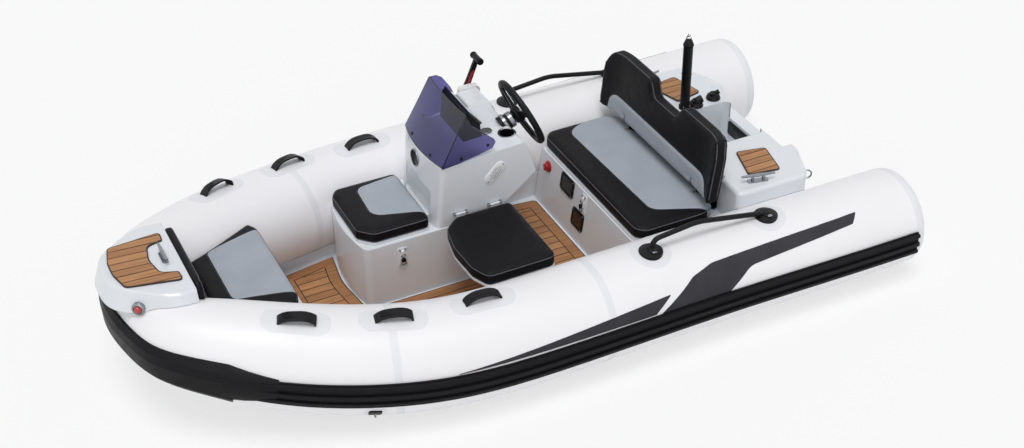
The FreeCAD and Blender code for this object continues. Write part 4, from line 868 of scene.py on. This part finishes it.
# Fittings: small steel and nylon parts are gathered in two forms, and screws are marked as they come
steel = bmesh.new()
nylon = bmesh.new()
screws = []


def screw(place, x, y, z):
    screws.append((place @ Vector((x, y, z)), place.col[2].to_3d()))


# Console vents: a louvred round one with a bright ring, and a perforated oval on the port side
round_place = facing((1559.4, -206, 577), (302, 0, 28), (0, 1, 0))
lathe(nylon, [(0, -3), (37, -3), (37, 2.5), (34, 4), (30, 1.5), (29, 0), (0, 0)], round_place, 48)
for row in range(-3, 4):
    half = math.sqrt(28 ** 2 - (row * 8) ** 2)
    slab(nylon, box_loop(half * 2, 4.6, 2), 2.6, spun(shifted(round_place, 0, row * 8, 0), 0.35, "X"), 0.8)
oval_place = spun(facing((1283, 0, 537), (0, 1, 0), (-1, 0, 0)), math.radians(45))
vents = bmesh.new()
slab(vents, box_loop(118, 54, 26.9, parts=14), 4.5, oval_place, 3.5)
dress(vents, "console_vent_covers", WHITE_ABS, "boat", 35, ("console_vents",))
ring(steel, shifted(round_place, 0, 0, 3), 36.5, 2.6, 56)
for end in (-50, 50):
    screw(oval_place, end, 0, 4.6)
holes = [(oval_place @ Vector((x * 8 + (row % 2) * 4 - 4, row * 7, 4.4)), (0, 1, 0)) for row in range(-2, 3)
         for x in range(-4 + abs(row), 6 - abs(row))]
hole = turned([(0, -1), (1.9, -1), (1.9, 0.25), (0, 0.25)], 10)
repeated("vent_holes", holes, hole, NYLON, "boat")

# Windscreen: black caps over its screws
screen_caps = [((1537, -282, 649), (0.93, -0.15, 0.35)), ((1537, -93, 647), (0.93, 0.15, 0.35)),
               ((1437, 2, 653), (0, 1, 0.05)), ((1314, 1, 684), (0, 1, 0.05)),
               ((1437, -384, 653), (0, -1, 0.05)), ((1314, -383, 684), (0, -1, 0.05))]
screen_skin = skin_of(merged("windscreen"))
for spot, way in screen_caps:
    seat, normal = screen_skin.find_nearest(Vector(spot))[:2]
    normal = normal if normal.dot(Vector(way)) > 0 else -normal
    lathe(nylon, [(0, -1), (7.5, -1), (7.5, 0.8), (6, 2.4), (3, 3.2), (0, 3.3)], facing(seat, normal), 20)

# Helm: bright collars around the shaft, hub cap and spoke trims on the wheel, ribs on its grip
HELM_TILT = math.radians(24)
axis = Vector((-math.cos(HELM_TILT), 0, math.sin(HELM_TILT)))
helm = Vector((1064, -190, 672))
for back, size, wide in ((94, 44, 15), (66, 37, 20)):
    place = facing(helm - axis * back, axis, (0, 1, 0))
    lathe(steel, [(0, 0), (size, 0), (size, wide - 3), (size - 3, wide), (0, wide)], place, 48)
hub = bmesh.new()
hub_place = facing(helm, axis, (0, 1, 0))
lathe(hub, [(0, -4.2), (27, -4.2), (27, -1), (24, 2.4), (16, 4.6), (0, 5.2)], hub_place, 40)
for k in range(3):
    spoke = spun(hub_place, math.radians(90 + 120 * k))
    slab(hub, box_loop(74, 9, 4.4), 2.2, spun(shifted(spoke, 86, 0, -1.5), -0.07, "Y"), 0.9)
dress(hub, "wheel_hub_trim", STEEL, "steering", 40)
grip = bmesh.new()
for k in range(3):
    for n in range(9):
        a = math.radians(120 * k + 6 + n * 6)
        spot = hub_place @ Vector((148 * math.cos(a), 148 * math.sin(a), 0))
        way = hub_place.to_3x3() @ Vector((-math.sin(a), math.cos(a), 0))
        ring(grip, facing(spot, way, axis), 14.1, 1.0, 20, 6)
dress(grip, "wheel_grip_ribs", NYLON, "steering", 40)

# Throttle lever: a red insert on each side and grip rings on the handle
lever = bmesh.new()
foot, head = Vector((1216, -443, 712)), Vector((1162, -435.5, 824))
way = (head - foot).normalized()
strip = box_loop((head - foot).length, 13, 3)
slab(lever, strip, 2.4, facing((foot + head) / 2 + Vector((0, 0.4, 0)), (0, -1, 0), way), 0.8)
inner_middle = (Vector((1210, -430, 718)) + Vector((1160, -420.5, 824))) / 2
slab(lever, strip, 2.4, facing(inner_middle, (0.02, 1, 0.05), way), 0.8)
dress(lever, "throttle_red_insert", RED_ABS, "boat", 35)
for y in (-460, -452, -396, -388):
    ring(nylon, facing((1160, y, 842), (0, 1, 0)), 14.2, 1.3, 30, 6)

# Bright rings around the cup holder and the gauge beside it
ring(steel, facing((1176, -104, 646.4), (0, 0, 1)), 39, 1.5, 48, 8)
ring(steel, facing((1246, -158, 646.4), (0, 0, 1)), 23.6, 1.6, 40, 8)

# Rail feet: small bright plates on the discs
for x, y, z in rail_feet:
    outer = math.copysign(1, y)
    place = facing((x, y + outer * 30, 445.6), (0, outer * 0.30, 1), (1, 0, 0))
    slab(steel, box_loop(20, 11, 2), 1.6, place, 0.6)

# Lifting handles: ribs across the grip
ribs = []
for place in handle_frames:
    for n in range(-8, 9):
        u = n * 6.2
        rise = 6 + 28 * (1 - abs(u / 75) ** 3.2)
        for side in (-1, 1):
            ribs.append((place @ Vector((u, side * 8, rise + 0.2)), place.to_3x3() @ Vector((0, 1, 0))))
rib = turned([(0, -6.4), (1.0, -6), (1.2, 0), (1.0, 6), (0, 6.4)], 8)
repeated("handle_ribs", ribs, rib, NYLON, "boat")

# Fairings where the bow guard runs out over the strake, as (reach, lift) shares of their section
GUARD_LINE = (2480, 2520, 2560, 2600, 2640, 2680), (301, 310, 319, 329, 340, 352)
FAIRING_SECTION = ((1, 0.02), (0.96, 0.42), (0.66, 0.92), (0.2, 1), (-0.3, 1), (-0.64, 1.12), (-0.9, 0.9),
                   (-1, 0.02), (-0.5, -0.05), (0, -0.05), (0.5, -0.05))
fairings = bmesh.new()
for side in (1, -1):
    line = [tube_skin.ray_cast(Vector((x, side * 1200, np.interp(x, *GUARD_LINE))), (0, -side, 0))[:2]
            for x in np.linspace(2656, 2490, 13)]
    last = len(line) - 1
    part = bmesh.new()
    rows = []
    for k, (centre, out) in enumerate(line):
        share = k / last
        ahead = line[min(k + 1, last)][0] - line[max(k - 1, 0)][0]
        up = ahead.cross(out).normalized()
        up = up if up.z > 0 else -up
        thick = 25.5 - 12 * share ** 1.6
        row = []
        for reach, lift in FAIRING_SECTION:
            half = 59 - 18 * share if reach > 0 else 96 - 48 * share
            spot, normal = tube_skin.ray_cast(centre + out * 200 + up * half * reach, -out)[:2]
            row.append(part.verts.new(spot + normal * thick * lift))
        rows.append(row)
    shelled(part, rows, ends=True)
    bmesh.ops.recalc_face_normals(part, faces=part.faces)
    join(fairings, part)
dress(fairings, "bow_guard_fairings", RUBBER, "boat", 40)

# The bench's front face leans aft by 40 mm over its 262 mm rise from (882, 30)
BENCH_RUN, BENCH_RISE, BENCH_FOOT = 40, 262, (882, 30)
bench_out = Vector((BENCH_RISE, 0, BENCH_RUN)).normalized()


def bench_front(y, z, proud=0.2):
    """A frame on the bench's front face, with X to port."""
    x = BENCH_FOOT[0] - BENCH_RUN * (z - BENCH_FOOT[1]) / BENCH_RISE
    return facing(Vector((x, y, z)) + bench_out * proud, bench_out, (0, 1, 0))


# Battery switch: a round red knob with a grip bar
knob = bmesh.new()
knob_place = Matrix.Translation((0.2, 0, 0)) @ bench_front(-341, 236, 0)
lathe(knob, [(0, 0), (27, 0), (27, 4), (24, 7), (17, 7.5), (17.5, 15), (15, 19), (0, 19.6)], knob_place, 40)
slab(knob, box_loop(9, 31, 3), 26, spun(knob_place, 0.5), 2)
dress(knob, "battery_knob", RED_ABS, "boat", 35, ("battery_switch",))

# Tow rings low on the tubes
for spot in tow_rings:
    seat, normal = tube_skin.find_nearest(spot)[:2]
    place = facing(seat, normal, (1, 0, 0))
    slab(nylon, box_loop(52, 40, 10), 5, shifted(place, 0, 0, 0.6), 1.6)
    ring(steel, spun(shifted(place, 0, 0, 9), math.pi / 2, "Y"), 11, 2.6, 30)

# Pedestal and bench latches: hasp arms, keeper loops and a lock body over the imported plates
for place in (facing((1725, 4.2, 250), (0, 1, 0), (-1, 0, 0)), bench_front(-4, 236)):
    for end in (-1, 1):
        sweep(steel, [place @ Vector((end * x, y, z)) for x, y, z in ((12, 46, 2), (10, 34, 8), (2, 18, 12))],
              2.0, 8)
    ring(steel, shifted(place, 0, 12, 13), 8.5, 2.2, 28)
    lathe(nylon, [(0, 8), (11, 8), (11, 17), (8, 20), (0, 20.6)], shifted(place, 0, -10, 0), 24)
    ring(steel, shifted(place, 0, -27, 12), 10, 2.2, 28)
    for x in (-15, 15):
        for y in (-38, 38):
            screw(place, x, y, 5)

# Inspection windows: raised frames with corner screws
frames = bmesh.new()
for y, z, w, h in ((-157, 244, 108, 78), (-30, 140, 92, 80)):
    place = bench_front(y, z)
    outer, inner = box_loop(w + 10, h + 10, 14), box_loop(w - 12, h - 12, 8)
    part = bmesh.new()
    shelled(part, [[part.verts.new((p.x, p.y, height)) for p in loop] for loop, height in
                   ((outer, 0), (outer, 5), (inner, 6.6), (inner, 5.1), (inner, 0))], closed=True)
    join(frames, part, place)
    for x in (3 - w / 2, w / 2 - 3):
        for v in (3 - h / 2, h / 2 - 3):
            screw(place, x, v, 6)
dress(frames, "window_frames", NYLON, "boat", 35)

# Mast: hooks on top, rings around the pole, and screws through its foot
MAST = 232, -186
ring(nylon, facing((*MAST, 822), (0.6, 0.8, 0)), 10, 2.4, 24, 8, 0.8)
ring(nylon, facing((*MAST, 836), (0.2, 1, 0)), 6, 1.8, 20, 8, 0.75)
for z in (476.4, 640, 786):
    ring(nylon, facing((*MAST, z), (0, 0, 1)), 22.2, 1.5, 36, 8)
for k in range(4):
    a = math.tau * (k + 0.5) / 4
    screw(facing((*MAST, 476.3), (0, 0, 1)), 24.4 * math.cos(a), 24.4 * math.sin(a), 0)

# Engine transom: clamp pads on both faces, drain sockets low on the transom
pads = bmesh.new()
slab(pads, box_loop(300, 110, 14), 6, facing((-35.2, 0, 322), (-1, 0, 0), (0, 1, 0)), 2)
slab(pads, box_loop(250, 70, 12), 5, facing((23.2, 0, 335), (1, 0, 0), (0, 1, 0)), 2)
for y in (-230, 230):
    lathe(pads, [(0, 0), (19, 0), (19, 4), (13, 7), (12, 3), (0, 3)],
          facing((-35.2, y, 70), (-1, 0, 0), (0, 1, 0)), 30)
dress(pads, "transom_pads", NYLON, "boat", 35)

# Navigation lights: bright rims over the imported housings
for side in (1, -1):
    out = Vector((0.55, side * 0.83, 0.1)).normalized()
    lathe(steel, [(16.5, 3), (18, 6), (22, 5.4), (26, 1), (26, -12), (16.5, -12), (16.5, 3)],
          facing(Vector((2868, side * 192, 522)) + out * 8, out), 40)

# Inflation valves on the inner face of the port tube
for x in (1050, 1960):
    seat, normal = tube_skin.ray_cast(Vector((x, 300, 300)), (0, 1, 0))[:2]
    place = facing(seat, -normal if normal.y > 0 else normal, (1, 0, 0))
    lathe(nylon, [(0, 0), (24, 0), (24, 3), (18, 6), (17, 4.5), (9, 4.5), (8, 8), (0, 8.6)], place, 32)

# Rigging boots: ribbed collars at their feet
for group in islands(merged("rigging_boots")):
    base = group[group[:, 2] < group[:, 2].min() + 6]
    lathe(nylon, [(0, -1), (33, -1), (33, 4), (29.5, 6), (31.5, 9.5), (27.5, 12), (29.5, 15.5), (26, 18),
                  (0, 18)], Matrix.Translation(Vector(base.mean(axis=0))), 40)

# Horn cleats: screws at their feet
for side in (1, -1):
    place = facing((268, side * 466, 468), (0, 0, 1), (0.97, side * -0.22, 0))
    for along in (-34, 34):
        screw(place, along, 0, 0)

dress(steel, "steel_fittings", STEEL, "boat", 40)
dress(nylon, "nylon_fittings", NYLON, "boat", 40)
# Pan heads of 3.4 mm radius with a round recess
HEAD = ((0, 0.2), (0.28, 0.2), (0.28, 0.62), (0.6, 0.6), (0.9, 0.36), (1, 0))
head = turned([(3.4 * r, 3.4 * z) for r, z in HEAD] + [(3.4, -0.6), (0, -0.6)], 14)
repeated("fitting_screws", screws, head, STEEL, "boat")

# Camera at the photograph's angle: rows are its right, down and forward directions
right, down, ahead = (Vector(row) for row in (
    (-0.8958094664, 0.4443307965, -0.00977462147), (0.2661506055, 0.5187096349, -0.8124679501),
    (-0.3559343410, -0.7304180023, -0.5829239117)))
FOCAL_PIXELS, IMAGE_PIXELS, SENSOR_MM = 1549.9, 1024, 36
camera = bpy.data.cameras.new("camera")
camera.lens = FOCAL_PIXELS * SENSOR_MM / IMAGE_PIXELS
camera.sensor_width = SENSOR_MM
camera.clip_end = 100
eye = placed("camera", camera)
pose = Matrix((right, -down, -ahead)).transposed().to_4x4()
pose.translation = (3.602, 4.915, 4.168)
eye.matrix_world = pose
scene.camera = eye
scene.view_settings.view_transform = "Standard"

# Studio: a white surround seen at full strength but lighting the boat less, and two broad soft suns
world = bpy.data.worlds.new("studio")
scene.world = world
world.use_nodes = True
sky = world.node_tree
level = ranged(sky, seen_directly(sky), 0.44, 1.0, 0.0, 1.0)
backdrop = sky.nodes["Background"]
backdrop.inputs["Color"].default_value = (0.98, 0.99, 1, 1)
sky.links.new(level, backdrop.inputs["Strength"])

suns = (("key", (-0.12, -0.22, -0.95), 1.45, 30), ("side", (-0.5, -0.85, -0.35), 0.38, 50))
for name, way, power, angle in suns:
    sun = bpy.data.lights.new(name, "SUN")
    sun.energy = power
    sun.angle = math.radians(angle)
    lamp = placed(name, sun)
    lamp.rotation_mode = "QUATERNION"
    lamp.rotation_quaternion = Vector(way).to_track_quat("-Z", "Y")

mesh = bpy.data.meshes.new("floor")
mesh.from_pydata([(-30, -30, 0), (30, -30, 0), (30, 30, 0), (-30, 30, 0)], [], [(0, 1, 2, 3)])
mesh.materials.append(FLOOR)
placed("floor", mesh)
